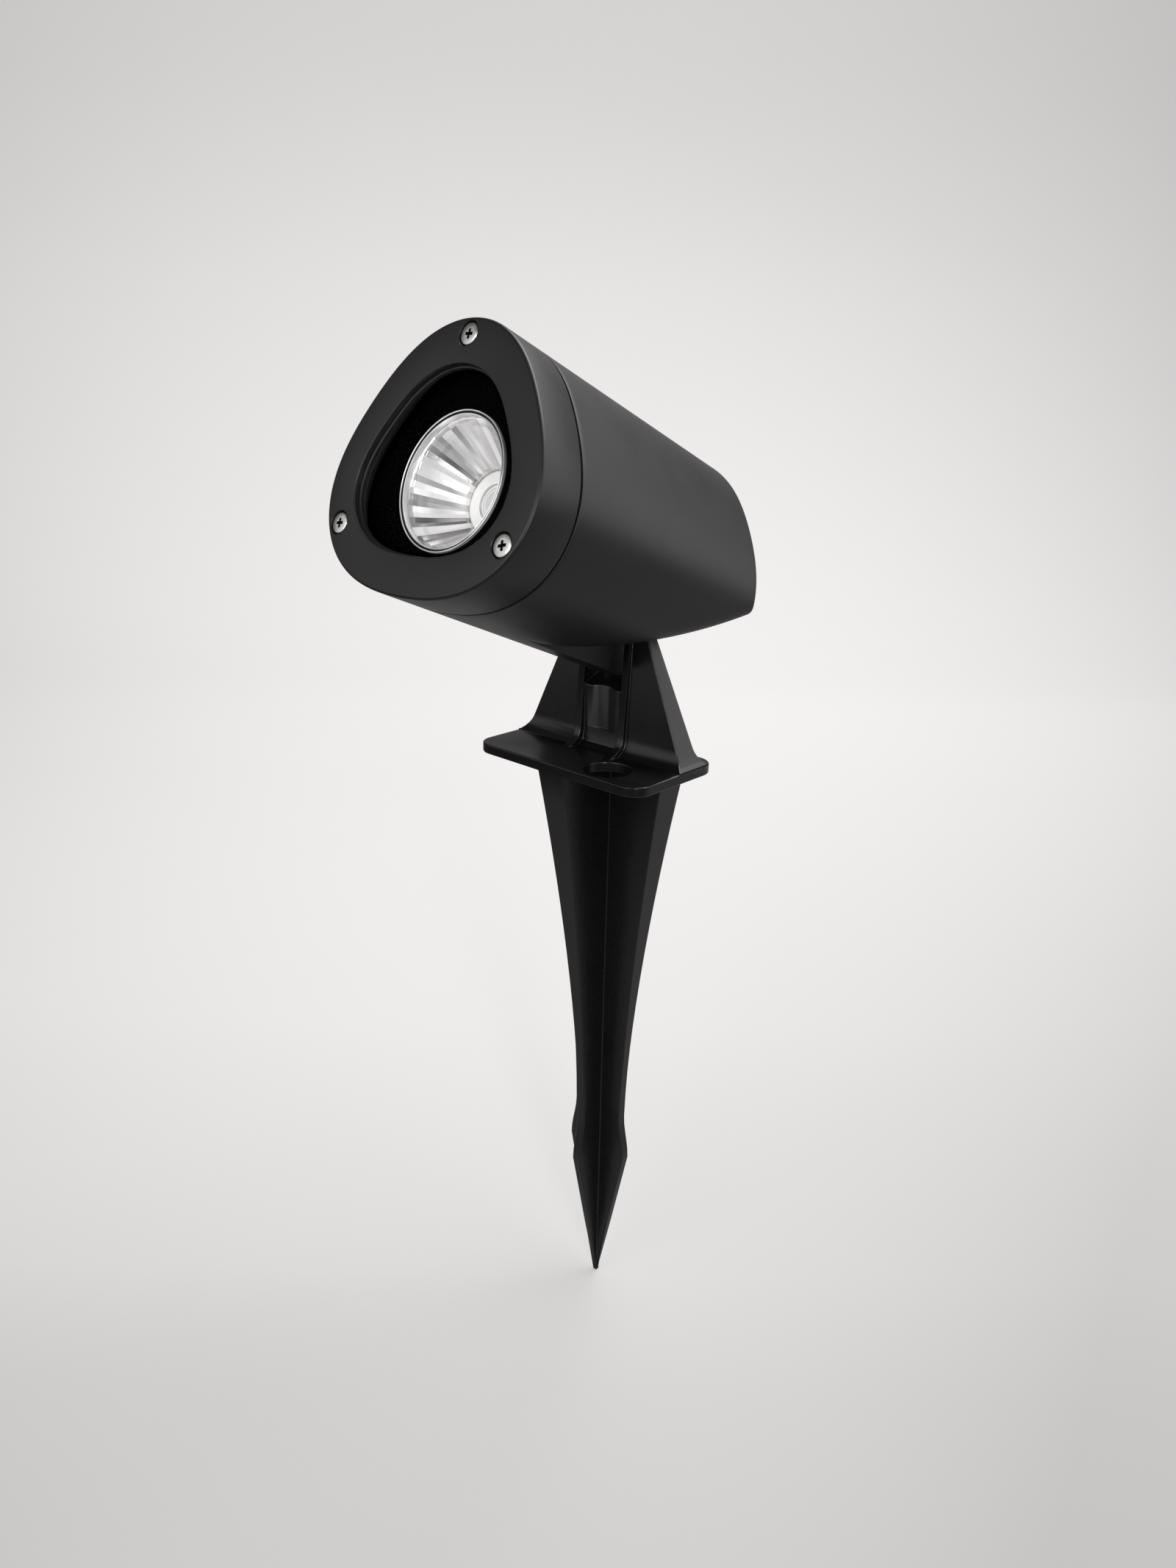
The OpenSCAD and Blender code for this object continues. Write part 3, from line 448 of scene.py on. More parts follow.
# The front ring, the seam behind it, the rounding of both edges there, and the housing's own front
RING_DEPTH = 13.5
SEAM = 0.4
SEAM_EDGE = 0.25
FRONT = RING_DEPTH + SEAM
# The ring's opening is a little wider and lower than the section. Behind its lip lies the glass's seat
OPENING_R = 24.2
OPENING_SWELL = 1.8
OPENING_SHAPE = {"wide": 1.04, "tall": 0.97}
LIP_DEPTH = 2.8
SEAT_R = 26.7
# The keel starts at this depth
KEEL_FRONT = 27.0
# The underside's slant to the barrel's axis and to the plate, and how far it lies under the tilt axis
CUT_TILT = math.radians(28)
CUT_SLOPE = math.radians(6)
CUT_BELOW = 3.5
# How sharply the sides turn into the underside, as a power: soft at the rear, sharper to the front
CUT_POWER = 8
CUT_POWER_RISE = 34
# The pockets for the stake's ears and the channel behind each, round the tilt axis
POCKET_R = 10.55
POCKET_HALF = 17.15
CHANNEL_RISE = 2.25
# The lug between the ears, with its flat back, the hollow that rounds it into the underside, and its rib
LUG_R = 9.2
LUG_HALF = 6.8
LUG_BACK = 0.46
HOLLOW_R = 1.1 * LUG_R
HOLLOW_DROP = 19.504
RIB_R = 21.4
RIB_HALF = 4.5
# Half the width of the cutters that shape the keel, past both its sides
KEEL_CUT_HALF = 20
# Holes: the bolt's, the gland's in the rear wall, the mouth behind the glass, and the ring screws'
BOLT_HOLE_R = 2.55
BOLT_HOLE_HALF = 15
GLAND_HOLE_R = 6.1
GLAND_RISE = 13
MOUTH_R = 27.6
SCREW_HOLE_R = 1.6
SCREW_HOLE_END = 21.5
SCREW_CIRCLE = 32.5
SCREW_ANGLES = [math.radians(90 + 120 * k) for k in range(3)]
CORNERS = [(HEAD_WIDE * SCREW_CIRCLE * math.cos(a), SCREW_CIRCLE * math.sin(a)) for a in SCREW_ANGLES]
# The counterbore of a ring screw, as (radius, height) from its floor to past the ring's face
COUNTERBORE = [(3.1, -2.3), (3.1, -0.22), (3.34, 0.02), (3.34, 1)]
# Further than the part reaches, for cutters, and points round a coarse section for the hollow inside
REACH = 200
COARSE = 144


def quarter(steps):
    """The sine and cosine at even steps through a quarter turn, both ends with them."""
    return [(math.sin(math.pi / 2 * i / steps), math.cos(math.pi / 2 * i / steps)) for i in range(steps + 1)]


def circle(radius, count, z, centre=(0, 0)):
    """Points round a circle at a height."""
    turns = [2 * math.pi * i / count for i in range(count)]
    return [(centre[0] + radius * math.cos(a), centre[1] + radius * math.sin(a), z) for a in turns]


def lobed_ring(radius, swell, depth, count=288, cut=False, lift=0.0, wide=1.0, tall=1.0):
    """Points of the rounded-triangle section at a depth, its underside pressed up to the cut if asked."""
    limit = -PIVOT_DROP - CUT_BELOW / math.cos(CUT_TILT) + (depth - PIVOT_BACK) * math.tan(CUT_TILT) + lift
    power = CUT_POWER + CUT_POWER_RISE * (HEAD_LEN - depth) / HEAD_LEN
    points = []
    for i in range(count):
        a = 2 * math.pi * (i + 0.5) / count
        r = radius + swell * math.cos(3 * (a - math.pi / 2))
        x = HEAD_WIDE * wide * r * math.cos(a)
        y = tall * r * math.sin(a)
        if cut and y < 0:
            k = (1 + (y / limit) ** power) ** (-1 / power)
            x *= k
            y *= k
        points.append((x, y, -depth))
    return points


def loft(name, rings, closed=False):
    """A solid through rings of equal count: capped at its ends, or closed on itself like a tube."""
    shape = bmesh.new()
    rows = [[shape.verts.new(p) for p in ring] for ring in rings]
    count = len(rows[0])
    pairs = list(zip(rows, rows[1:]))
    if closed:
        pairs.append((rows[-1], rows[0]))
    else:
        shape.faces.new(rows[0])
        shape.faces.new(rows[-1])
    for one, two in pairs:
        for i in range(count):
            j = (i + 1) % count
            shape.faces.new((one[i], one[j], two[j], two[i]))
    return mesh_from(name, shape)


def block(low, high, place=None):
    """A box between two corners, as a cutter."""
    shape = bmesh.new()
    bmesh.ops.create_cube(shape, size=1.0)
    for v in shape.verts:
        v.co = Vector([(low[i] + high[i]) / 2 + v.co[i] * (high[i] - low[i]) for i in range(3)])
    return mesh_from("cutter", shape, place)


def rod(outline, centre=(0, 0), place=None):
    """A turned cutter from (radius, height) pairs along its own z, at a place across it."""
    mesh = loft("cutter", [circle(r, 96, z, centre) for r, z in outline])
    if place is not None:
        mesh.transform(place)
    return mesh


def pivot_rod(radius, low, high, centre=(0, 0)):
    """A round cutter along the tilt axis, between two places on it, its centre (drop, back) from it."""
    return rod([(radius, low), (radius, high)], centre, PIVOT_IN_BARREL @ ALONG_X)


def carve(thing, steps):
    """Cuts, joins or intersects an object with each mesh in turn, exactly, and keeps the result."""
    helpers = []
    for operation, mesh in steps:
        helper = new_object("cutter", mesh)
        helpers.append(helper)
        cut = thing.modifiers.new("Carve", "BOOLEAN")
        cut.operation = operation
        cut.solver = "EXACT"
        cut.object = helper
    bpy.context.view_layer.update()
    evaluated = thing.evaluated_get(bpy.context.evaluated_depsgraph_get())
    mesh = bpy.data.meshes.new_from_object(evaluated)
    thing.modifiers.clear()
    thing.data = mesh
    for helper in helpers:
        bpy.data.objects.remove(helper)


class SPOT_OT_barrel(bpy.types.Operator):
    """Make the die-cast barrel with its slanted underside, ear pockets, keel and lug"""
    bl_idname = "spot.barrel"
    bl_label = "Barrel"

    def execute(self, context):
        scene = context.scene
        edge = scene.spot_sizes.edge / MM
        rings = [lobed_ring(HEAD_R - edge * (1 - s), HEAD_SWELL, HEAD_LEN - edge * (1 - c), cut=True,
                            lift=edge * (1 - s)) for s, c in quarter(6)]
        rear = HEAD_LEN - edge
        sections = 60
        for i in range(1, sections + 1):
            depth = rear - (rear - SEAM_EDGE - FRONT) * i / sections
            rings.append(lobed_ring(HEAD_R, HEAD_SWELL, depth, cut=True))
        for s, c in quarter(3)[1:]:
            depth = FRONT + SEAM_EDGE * (1 - s)
            rings.append(lobed_ring(HEAD_R - SEAM_EDGE * (1 - c), HEAD_SWELL, depth, cut=True))
        barrel = new_object("barrel", loft("barrel", rings))

        # The keel is the section without the cut, as a slab, with the lug and its rib
        keel = new_object("keel", loft("keel", [
            lobed_ring(HEAD_R, HEAD_SWELL, depth) for depth in (KEEL_FRONT, rear)]))
        slab = block((-LUG_HALF, -HEAD_R, -HEAD_LEN), (LUG_HALF, 0, 0))
        slant = PIVOT_IN_BARREL @ Matrix.Rotation(CUT_SLOPE, 4, "X")
        under = block((-KEEL_CUT_HALF, LUG_BACK, -REACH - CUT_BELOW),
                      (KEEL_CUT_HALF, LUG_BACK + REACH / 2, -CUT_BELOW), slant)
        hollow = pivot_rod(HOLLOW_R, -KEEL_CUT_HALF, KEEL_CUT_HALF, (HOLLOW_DROP, LUG_BACK))
        lug = new_object("lug", pivot_rod(LUG_R, -LUG_HALF, LUG_HALF))
        rib = new_object("rib", pivot_rod(RIB_R, -RIB_HALF, RIB_HALF))
        ahead = block((-LUG_HALF, -REACH / 2, -REACH / 2), (LUG_HALF, LUG_R / 2, REACH / 2), PIVOT_IN_BARREL)
        carve(lug, [("INTERSECT", keel.data.copy())])
        carve(rib, [("INTERSECT", ahead), ("INTERSECT", keel.data.copy())])
        carve(keel, [("INTERSECT", slab), ("DIFFERENCE", hollow), ("DIFFERENCE", under),
                     ("UNION", lug.data), ("UNION", rib.data)])

        cuts = []
        for side in (-1, 1):
            inner, outer = sorted((side * LUG_HALF, side * POCKET_HALF))
            cuts.append(pivot_rod(POCKET_R, inner, outer))
            cuts.append(block((inner, 0, -POCKET_R), (outer, REACH, CHANNEL_RISE), PIVOT_IN_BARREL))
        room = new_object("room", loft("room", [
            lobed_ring(HEAD_R - WALL, HEAD_SWELL, d, COARSE) for d in (FRONT + WALL, HEAD_LEN - REAR_WALL)]))
        half = POCKET_HALF + WALL
        floor = block((-REACH, -REACH, -REACH), (REACH, REACH, WALL - CUT_BELOW), slant)
        channel = block((-half, 0, -POCKET_R), (half, REACH, CHANNEL_RISE + WALL), PIVOT_IN_BARREL)
        carve(room, [("DIFFERENCE", floor), ("DIFFERENCE", pivot_rod(POCKET_R + WALL, -half, half)),
                     ("DIFFERENCE", channel)])
        cuts.append(room.data)
        cuts.append(loft("mouth", [
            lobed_ring(MOUTH_R, OPENING_SWELL, d, COARSE) for d in (FRONT - 1, FRONT + WALL + 1)]))
        cuts.append(pivot_rod(BOLT_HOLE_R, -BOLT_HOLE_HALF, BOLT_HOLE_HALF))
        cuts.append(rod([(GLAND_HOLE_R, -HEAD_LEN - 1), (GLAND_HOLE_R, -HEAD_LEN + 5)], (0, GLAND_RISE)))
        for corner in CORNERS:
            cuts.append(rod([(SCREW_HOLE_R, -SCREW_HOLE_END), (SCREW_HOLE_R, -FRONT + 1)], corner))
        carve(barrel, [("UNION", keel.data)] + [("DIFFERENCE", cut) for cut in cuts])
        for helper in (keel, lug, rib, room):
            bpy.data.objects.remove(helper)
        barrel.data.transform(BARREL_MM)
        smooth(barrel.data, 30)
        finish(barrel, powder_coat(scene.spot_finishes.coat))
        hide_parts("housing")
        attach(barrel, "head")
        return {"FINISHED"}


class SPOT_OT_front_ring(bpy.types.Operator):
    """Make the front ring: rounded outer edge, flat face, soft-edged opening and counterbores"""
    bl_idname = "spot.front_ring"
    bl_label = "Front ring"

    def execute(self, context):
        scene = context.scene
        edge = scene.spot_sizes.edge / MM
        # From the seam over the outer edge and the face, and back down the opening's softened edge
        rear = RING_DEPTH - 0.15
        rings = [lobed_ring(HEAD_R - SEAM_EDGE * (1 - s), HEAD_SWELL, rear - SEAM_EDGE * (1 - c))
                 for s, c in quarter(3)]
        rings += [lobed_ring(HEAD_R - edge * (1 - c), HEAD_SWELL, edge * (1 - s)) for s, c in quarter(8)]
        soft = 0.35
        rings += [lobed_ring(OPENING_R + soft * (1 - s), OPENING_SWELL, soft * (1 - c), **OPENING_SHAPE)
                  for s, c in quarter(4)]
        # A low step halfway down the opening's wall, its front edge rounded
        for inward, depth in ((0, 1.7), (0.2, 1.73), (0.38, 1.85), (0.45, 2.05), (0.45, LIP_DEPTH)):
            rings.append(lobed_ring(OPENING_R - inward, OPENING_SWELL, depth, **OPENING_SHAPE))
        rings += [lobed_ring(SEAT_R, OPENING_SWELL, depth) for depth in (LIP_DEPTH, RING_DEPTH)]
        ring = new_object("front_ring", loft("front_ring", rings, closed=True))
        steps = []
        for corner in CORNERS:
            steps.append(("DIFFERENCE", rod(COUNTERBORE, corner)))
            steps.append(("DIFFERENCE", rod([(SCREW_HOLE_R, -RING_DEPTH - 1), (SCREW_HOLE_R, -2)], corner)))
        carve(ring, steps)
        ring.data.transform(BARREL_MM)
        smooth(ring.data, 30)
        finish(ring, bpy.data.materials["powder_coated_die_casting"])
        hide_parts("bezel")
        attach(ring, "head")
        return {"FINISHED"}


# Fasteners

def cross_screw(radius, height, shank, length, cross):
    """A flat-headed screw with a cross recess: its head's top in the plane z = 0, its shank downwards."""
    shape = bmesh.new()
    count = 48
    # The recess is a plus from corner to corner of its arms
    arms = []
    wide = cross * 0.16
    for k in range(4):
        a = k * math.pi / 2
        for x, y in ((wide, -wide), (cross / 2, -wide), (cross / 2, wide)):
            arms.append((x * math.cos(a) - y * math.sin(a), x * math.sin(a) + y * math.cos(a)))
    hole = [shape.verts.new((x, y, 0.0)) for x, y in arms]
    hole_edges = [shape.edges.new((hole[i], hole[(i + 1) % len(hole)])) for i in range(len(hole))]
    rim = [shape.verts.new(p) for p in circle(radius * 0.9, count, 0.0)]
    rim_edges = [shape.edges.new((rim[i], rim[(i + 1) % count])) for i in range(count)]
    bmesh.ops.triangle_fill(shape, use_beauty=True, edges=hole_edges + rim_edges)

    def turned(previous, r, z):
        ring = [shape.verts.new(p) for p in circle(r, count, z)]
        for i in range(count):
            j = (i + 1) % count
            shape.faces.new((previous[i], previous[j], ring[j], ring[i]))
        return ring

    last = rim
    for r, z in ((0.955, -0.05), (0.99, -0.13), (1.0, -0.25), (1.0, -0.9), (0.97, -1.0)):
        last = turned(last, radius * r, height * z)
    last = turned(last, shank, -height)
    last = turned(last, shank, -length + shank * 0.4)
    last = turned(last, shank * 0.6, -length)
    shape.faces.new(last)
    floor = [shape.verts.new((v.co.x * 0.55, v.co.y * 0.55, -height * 0.6)) for v in hole]
    for i in range(len(hole)):
        j = (i + 1) % len(hole)
        shape.faces.new((hole[i], hole[j], floor[j], floor[i]))
    shape.faces.new(floor)
    return mesh_from("screw", shape)


def screw_tree(material, recess):
    """Screws on points: one at each vertex, made real, with its finish, and a near-black one in its recess as
    painted shade.
    """
    tree, val = node_group("Screws on corners", [
        ("Screw", "NodeSocketObject", None), ("Turn", "NodeSocketFloat", 0.0),
        ("Recess radius", "NodeSocketFloat", 1.2 * MM)])
    screw = add_node(tree, "GeometryNodeObjectInfo", {"Object": val["Screw"]})
    place = add_node(tree, "GeometryNodeInputPosition")
    axes = add_node(tree, "ShaderNodeSeparateXYZ", {0: place.outputs[0]})
    flat = add_node(tree, "ShaderNodeCombineXYZ", {"X": axes.outputs["X"], "Y": axes.outputs["Y"]})
    out = add_node(tree, "ShaderNodeVectorMath", {0: flat.outputs[0]}, operation="LENGTH")
    near = add_node(tree, "FunctionNodeCompare", {0: out.outputs["Value"], 1: val["Recess radius"]},
                    data_type="FLOAT", operation="LESS_THAN")
    deep = add_node(tree, "FunctionNodeCompare", {0: axes.outputs["Z"], 1: -0.1 * MM},
                    data_type="FLOAT", operation="LESS_THAN")
    inside = add_node(tree, "FunctionNodeBooleanMath", {0: near.outputs[0], 1: deep.outputs[0]},
                      operation="AND")
    marked = add_node(tree, "GeometryNodeStoreNamedAttribute", {
        "Geometry": screw.outputs["Geometry"], "Name": "recess", "Value": inside.outputs[0]},
        data_type="BOOLEAN", domain="FACE")
    index = add_node(tree, "GeometryNodeInputIndex")
    turn = calc(tree, "MULTIPLY", index.outputs[0], val["Turn"])
    angle = add_node(tree, "ShaderNodeCombineXYZ", {"Z": turn})
    rotation = add_node(tree, "FunctionNodeEulerToRotation", {0: angle.outputs[0]})
    placed = add_node(tree, "GeometryNodeInstanceOnPoints", {
        "Points": val["Geometry"], "Instance": marked.outputs["Geometry"],
        "Rotation": rotation.outputs[0]})
    real = add_node(tree, "GeometryNodeRealizeInstances", {"Geometry": placed.outputs["Instances"]})
    painted = add_node(tree, "GeometryNodeSetMaterial", {
        "Geometry": real.outputs["Geometry"], "Material": material})
    # Painted shade: the faces marked as the recess take the near-black finish
    mark = add_node(tree, "GeometryNodeInputNamedAttribute", {"Name": "recess"}, data_type="BOOLEAN")
    recess_painted_shade = add_node(tree, "GeometryNodeSetMaterial", {
        "Geometry": painted.outputs["Geometry"], "Selection": mark.outputs["Attribute"],
        "Material": recess})
    add_node(tree, "NodeGroupOutput", {"Geometry": recess_painted_shade.outputs["Geometry"]})
    return tree


class SPOT_OT_ring_screws(bpy.types.Operator):
    """Make the three screws that hold the front ring, with their cross recesses"""
    bl_idname = "spot.ring_screws"
    bl_label = "Ring screws"

    def execute(self, context):
        scene = context.scene
        steel = stainless_steel(scene.spot_finishes.metal)
        screw = cross_screw(radius=scene.spot_sizes.head_radius, height=1.9 * MM, shank=1.5 * MM,
                            length=19.5 * MM, cross=2.5 * MM)
        pattern = new_object("screw_pattern", screw)
        smooth(pattern.data, 35)
        # A head's top lies just under the ring's face
        spots = bmesh.new()
        sunk = 0.25
        for x, y in CORNERS:
            spots.verts.new((x * MM, y * MM, -sunk * MM))
        corners = bpy.data.meshes.new("ring_screws")
        spots.to_mesh(corners)
        spots.free()
        screws = new_object("ring_screws_dressed", corners)
        # The recess is painted near black and matt: painted shade, as little light reaches its bottom
        dark = grained("painted_recess_shade", linear("060606"), patch=0.5, patch_change=0.2, grain=0.1,
                       grain_depth=0.01, rough=(0.8, 0.95), specular=0.1)
        baked(screws, screw_tree(steel, dark), {"Screw": pattern, "Turn": math.radians(7)})
        screws.data.transform(BARREL)
        bpy.data.objects.remove(pattern)
        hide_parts("ring_screws")
        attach(screws, "head")
        return {"FINISHED"}


# The optic

def bowl_tree(material):
    """A fluted bowl from a flat grid: one way round the axis, the other way from the throat to the rim."""
    tree, val = node_group("Fluted bowl", [
        ("Throat radius", "NodeSocketFloat", 8.4 * MM), ("Rim radius", "NodeSocketFloat", 16.65 * MM),
        ("Throat depth", "NodeSocketFloat", 21.8 * MM), ("Rim depth", "NodeSocketFloat", 8.3 * MM),
        ("Curve", "NodeSocketFloat", 1.1), ("Flutes", "NodeSocketInt", 30),
        ("Steps in a flute", "NodeSocketInt", 2), ("Rows", "NodeSocketInt", 12),
        ("Flute depth", "NodeSocketFloat", 0.3 * MM)])
    columns = calc(tree, "MULTIPLY", val["Flutes"], val["Steps in a flute"])
    sheet = add_node(tree, "GeometryNodeMeshGrid", {
        "Size X": 1.0, "Size Y": 1.0, "Vertices X": calc(tree, "ADD", columns, 1.0),
        "Vertices Y": calc(tree, "ADD", val["Rows"], 1.0)})
    # A point's share of the turn, and how far along it is from the throat to the rim
    place = add_node(tree, "GeometryNodeInputPosition")
    axes = add_node(tree, "ShaderNodeSeparateXYZ", {0: place.outputs[0]})
    share = calc(tree, "ADD", axes.outputs["X"], 0.5)
    along = calc(tree, "ADD", axes.outputs["Y"], 0.5)
    # The radius grows fast at first, then slower
    left = calc(tree, "POWER", calc(tree, "SUBTRACT", 1.0, along), val["Curve"])
    growth = calc(tree, "SUBTRACT", val["Rim radius"], val["Throat radius"])
    growth = calc(tree, "MULTIPLY", growth, calc(tree, "SUBTRACT", 1.0, left))
    radius = calc(tree, "ADD", val["Throat radius"], growth)
    # A flute is deepest at the rim, and at the throat it still has 0.4 of that
    flute = calc(tree, "MULTIPLY", share, val["Flutes"])
    wave = calc(tree, "ABSOLUTE", calc(tree, "SINE", calc(tree, "MULTIPLY", flute, math.pi)))
    relief = calc(tree, "ADD", calc(tree, "MULTIPLY", along, 0.6), 0.4)
    relief = calc(tree, "MULTIPLY", val["Flute depth"], relief)
    radius = calc(tree, "ADD", radius, calc(tree, "MULTIPLY", wave, relief))
    rise = calc(tree, "SUBTRACT", val["Rim depth"], val["Throat depth"])
    depth = calc(tree, "ADD", val["Throat depth"], calc(tree, "MULTIPLY", rise, along))
    angle = calc(tree, "MULTIPLY", share, 2 * math.pi)
    spot = add_node(tree, "ShaderNodeCombineXYZ", {
        "X": calc(tree, "MULTIPLY", radius, calc(tree, "COSINE", angle)),
        "Y": calc(tree, "MULTIPLY", radius, calc(tree, "SINE", angle)),
        "Z": calc(tree, "MULTIPLY", depth, -1.0)})
    # Each face carries its flute, its row and how far up the bowl it is, for the finish
    marks = add_node(tree, "ShaderNodeCombineXYZ", {
        "X": calc(tree, "FLOOR", flute),
        "Y": calc(tree, "FLOOR", calc(tree, "MULTIPLY", along, val["Rows"])), "Z": along})
    marked = add_node(tree, "GeometryNodeStoreNamedAttribute", {
        "Geometry": sheet.outputs["Mesh"], "Name": "flute", "Value": marks.outputs[0]},
        data_type="FLOAT_VECTOR", domain="FACE")
    bowl = add_node(tree, "GeometryNodeSetPosition", {
        "Geometry": marked.outputs["Geometry"], "Position": spot.outputs[0]})
    joined = add_node(tree, "GeometryNodeMergeByDistance", {
        "Geometry": bowl.outputs["Geometry"], "Distance": 1e-6})
    real = add_node(tree, "GeometryNodeRealizeInstances", {"Geometry": joined.outputs["Geometry"]})
    painted = add_node(tree, "GeometryNodeSetMaterial", {
        "Geometry": real.outputs["Geometry"], "Material": material})
    add_node(tree, "NodeGroupOutput", {"Geometry": painted.outputs["Geometry"]})
    return tree


# The reflector's rim as a closed outline of (radius, depth) in mm: two thin lips with a groove between them
RIM = [(16.65, 8.3), (16.65, 6.85), (16.72, 6.7), (16.85, 6.66), (16.98, 6.72), (17.03, 6.88), (17.03, 7.1),
       (17.5, 7.1), (17.5, 6.62), (17.57, 6.45), (17.7, 6.4), (17.83, 6.45), (17.9, 6.6), (17.9, 7.5),
       (17.2, 7.5), (17.2, 8.3)]
# Which sides of that outline are the groove's
GROOVE = (5, 6, 7)


def turned_ring(name, outline):
    """A closed ring turned about the optic's axis from a closed outline of (radius, depth) points in mm."""
    shape = bmesh.new()
    count = 128
    rings = []
    for i in range(count):
        across = Vector((math.cos(2 * math.pi * i / count), math.sin(2 * math.pi * i / count), 0))
        rings.append([shape.verts.new(across * (r * MM) - Vector((0, 0, d * MM))) for r, d in outline])
    for i in range(count):
        here = rings[i]
        there = rings[(i + 1) % count]
        for j in range(len(outline)):
            k = (j + 1) % len(outline)
            shape.faces.new((here[j], there[j], there[k], here[k]))
    return mesh_from(name, shape, OPTIC)


class SPOT_OT_reflector(bpy.types.Operator):
    """Make the fluted reflector and its turned rim"""
    bl_idname = "spot.reflector"
    bl_label = "Reflector"

    def execute(self, context):
        scene = context.scene
        mirror = bright_aluminium(scene.spot_finishes.mirror)
        bowl = new_object("reflector_bowl", bpy.data.meshes.new("reflector_bowl"))
        baked(bowl, bowl_tree(mirror), {
            "Flutes": scene.spot_sizes.flutes, "Flute depth": scene.spot_sizes.flute_depth})
        bowl.data.transform(OPTIC)
        smooth(bowl.data, 3)
        wall = bowl.modifiers.new("Wall", "SOLIDIFY")
        wall.thickness = 0.5 * MM
        wall.offset = -1.0
        rim = new_object("reflector_rim", turned_ring("reflector_rim", RIM))
        smooth(rim.data, 35)
        finish(rim, mirror)
        # The groove between the two lips is painted black and matt: painted shade in the groove
        groove_shade = grained("painted_groove_shade", linear("0c0c0c"), patch=4, patch_change=0.1, grain=0.2,
                       grain_depth=0.002, rough=(0.5, 0.6), specular=0.2)
        rim.data.materials.append(groove_shade)
        for face in rim.data.polygons:
            face.material_index = 1 if face.index % len(RIM) in GROOVE else 0
        for piece in (bowl, rim):
            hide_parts("reflector")
            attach(piece, "head")
        return {"FINISHED"}


class SPOT_OT_lamp(bpy.types.Operator):
    """Finish the glass, the lamp chip and what is round it"""
    bl_idname = "spot.lamp"
    bl_label = "Glass and lamp"

    def execute(self, context):
        finish_nodes(clear_glass(), "glass")
        # White nylon chip holder: semi-gloss, faintly cloudy
        nylon = grained("white_nylon", linear("e2e2e0"), patch=3, patch_change=0.03, grain=0.3,
                        grain_depth=0.004, rough=(0.35, 0.45))
        finish_nodes(nylon, "chip_holder")
        # Alumina board: white and hard with a fine fired grain
        alumina = grained("alumina_ceramic", linear("dcdcd8"), patch=2, patch_change=0.04, grain=0.15,
                          grain_depth=0.003, rough=(0.3, 0.4))
        finish_nodes(alumina, "chip_board")
        finish_nodes(phosphor(), "emitter")
        return {"FINISHED"}


class SPOT_OT_stake(bpy.types.Operator):
    """Make the moulded ground stake with its plate, gussets, ears and blades"""
    bl_idname = "spot.stake"
    bl_label = "Stake"

    def execute(self, context):
        scene = context.scene
        stake = whole_copy("stake", "ground_stake")
        round_edges(stake, scene.spot_sizes.moulded_edge)
        finish(stake, moulded_nylon(scene.spot_finishes.stake))
        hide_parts("stake")
        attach(stake, "stake")
        return {"FINISHED"}


# Each row: its nodes, its name, its sRGB colour, the size of its cloudy patches in mm and how far they change
# the colour, the size and the depth of its grain in mm, the range of its roughness, and 1.0 if it is a metal
HIDDEN_FINISHES = (
    # Vulcanised fibre, pressed in sheets: dull, dark and slightly mottled
    (["friction_washers"], "vulcanised_fibre", "2e2c2a", 2, 0.2, 0.3, 0.02, (0.7, 0.85)),
    # EPDM rubber, moulded: matt black
    (["seam_seal", "glass_seal", "gland_seal"], "epdm_rubber", "18181a", 5, 0.1, 0.4, 0.01, (0.7, 0.85)),
    # Black nylon of the cable gland, moulded: semi-matt
    (["gland_body", "gland_nut", "gland_locknut"], "gland_nylon", "202122", 6, 0.08, 0.3, 0.01, (0.42, 0.55)),
    # Gap filler under the chip board: soft blue silicone, dull
    (["thermal_pad"], "silicone_pad", "93adc4", 2, 0.08, 0.3, 0.01, (0.6, 0.7)),
    # Machined aluminium: pale grey with a satin cut
    (["heat_plate"], "machined_aluminium", "cfd0d2", 3, 0.05, 0.2, 0.01, (0.3, 0.45), 1.0),
    # Epoxy board under green solder mask: glossy, with the tracks as paler and darker patches
    (["driver_board"], "solder_mask_board", "2c6a46", 1.8, 0.25, 0.6, 0.02, (0.25, 0.4)),
    # Turned brass standoffs: yellow and bright
    (["board_standoffs"], "turned_brass", "d8b46a", 2, 0.08, 0.2, 0.008, (0.25, 0.4), 1.0),
    # Varnished laminations and tape of the transformer: brown, unevenly glossy
    (["transformer"], "varnished_transformer", "4c463e", 3, 0.3, 0.4, 0.03, (0.35, 0.6)),
    # Shrunk PVC sleeve of the capacitor: dark blue and glossy
    (["capacitor"], "shrunk_sleeve", "2c3648", 4, 0.1, 0.5, 0.01, (0.25, 0.35)),
    # Enamelled copper of the choke: reddish brown, rough with its turns
    (["choke"], "enamelled_copper", "a5652f", 0.8, 0.3, 0.35, 0.06, (0.25, 0.4)),
    # Moulded polyamide of the terminal block: green, softly glossy
    (["terminal_block"], "green_polyamide", "3f9360", 4, 0.06, 0.3, 0.008, (0.35, 0.45)),
    # Silicone-covered leads: red and soft
    (["chip_leads"], "silicone_leads", "b23a34", 4, 0.1, 0.3, 0.01, (0.45, 0.6)),
)


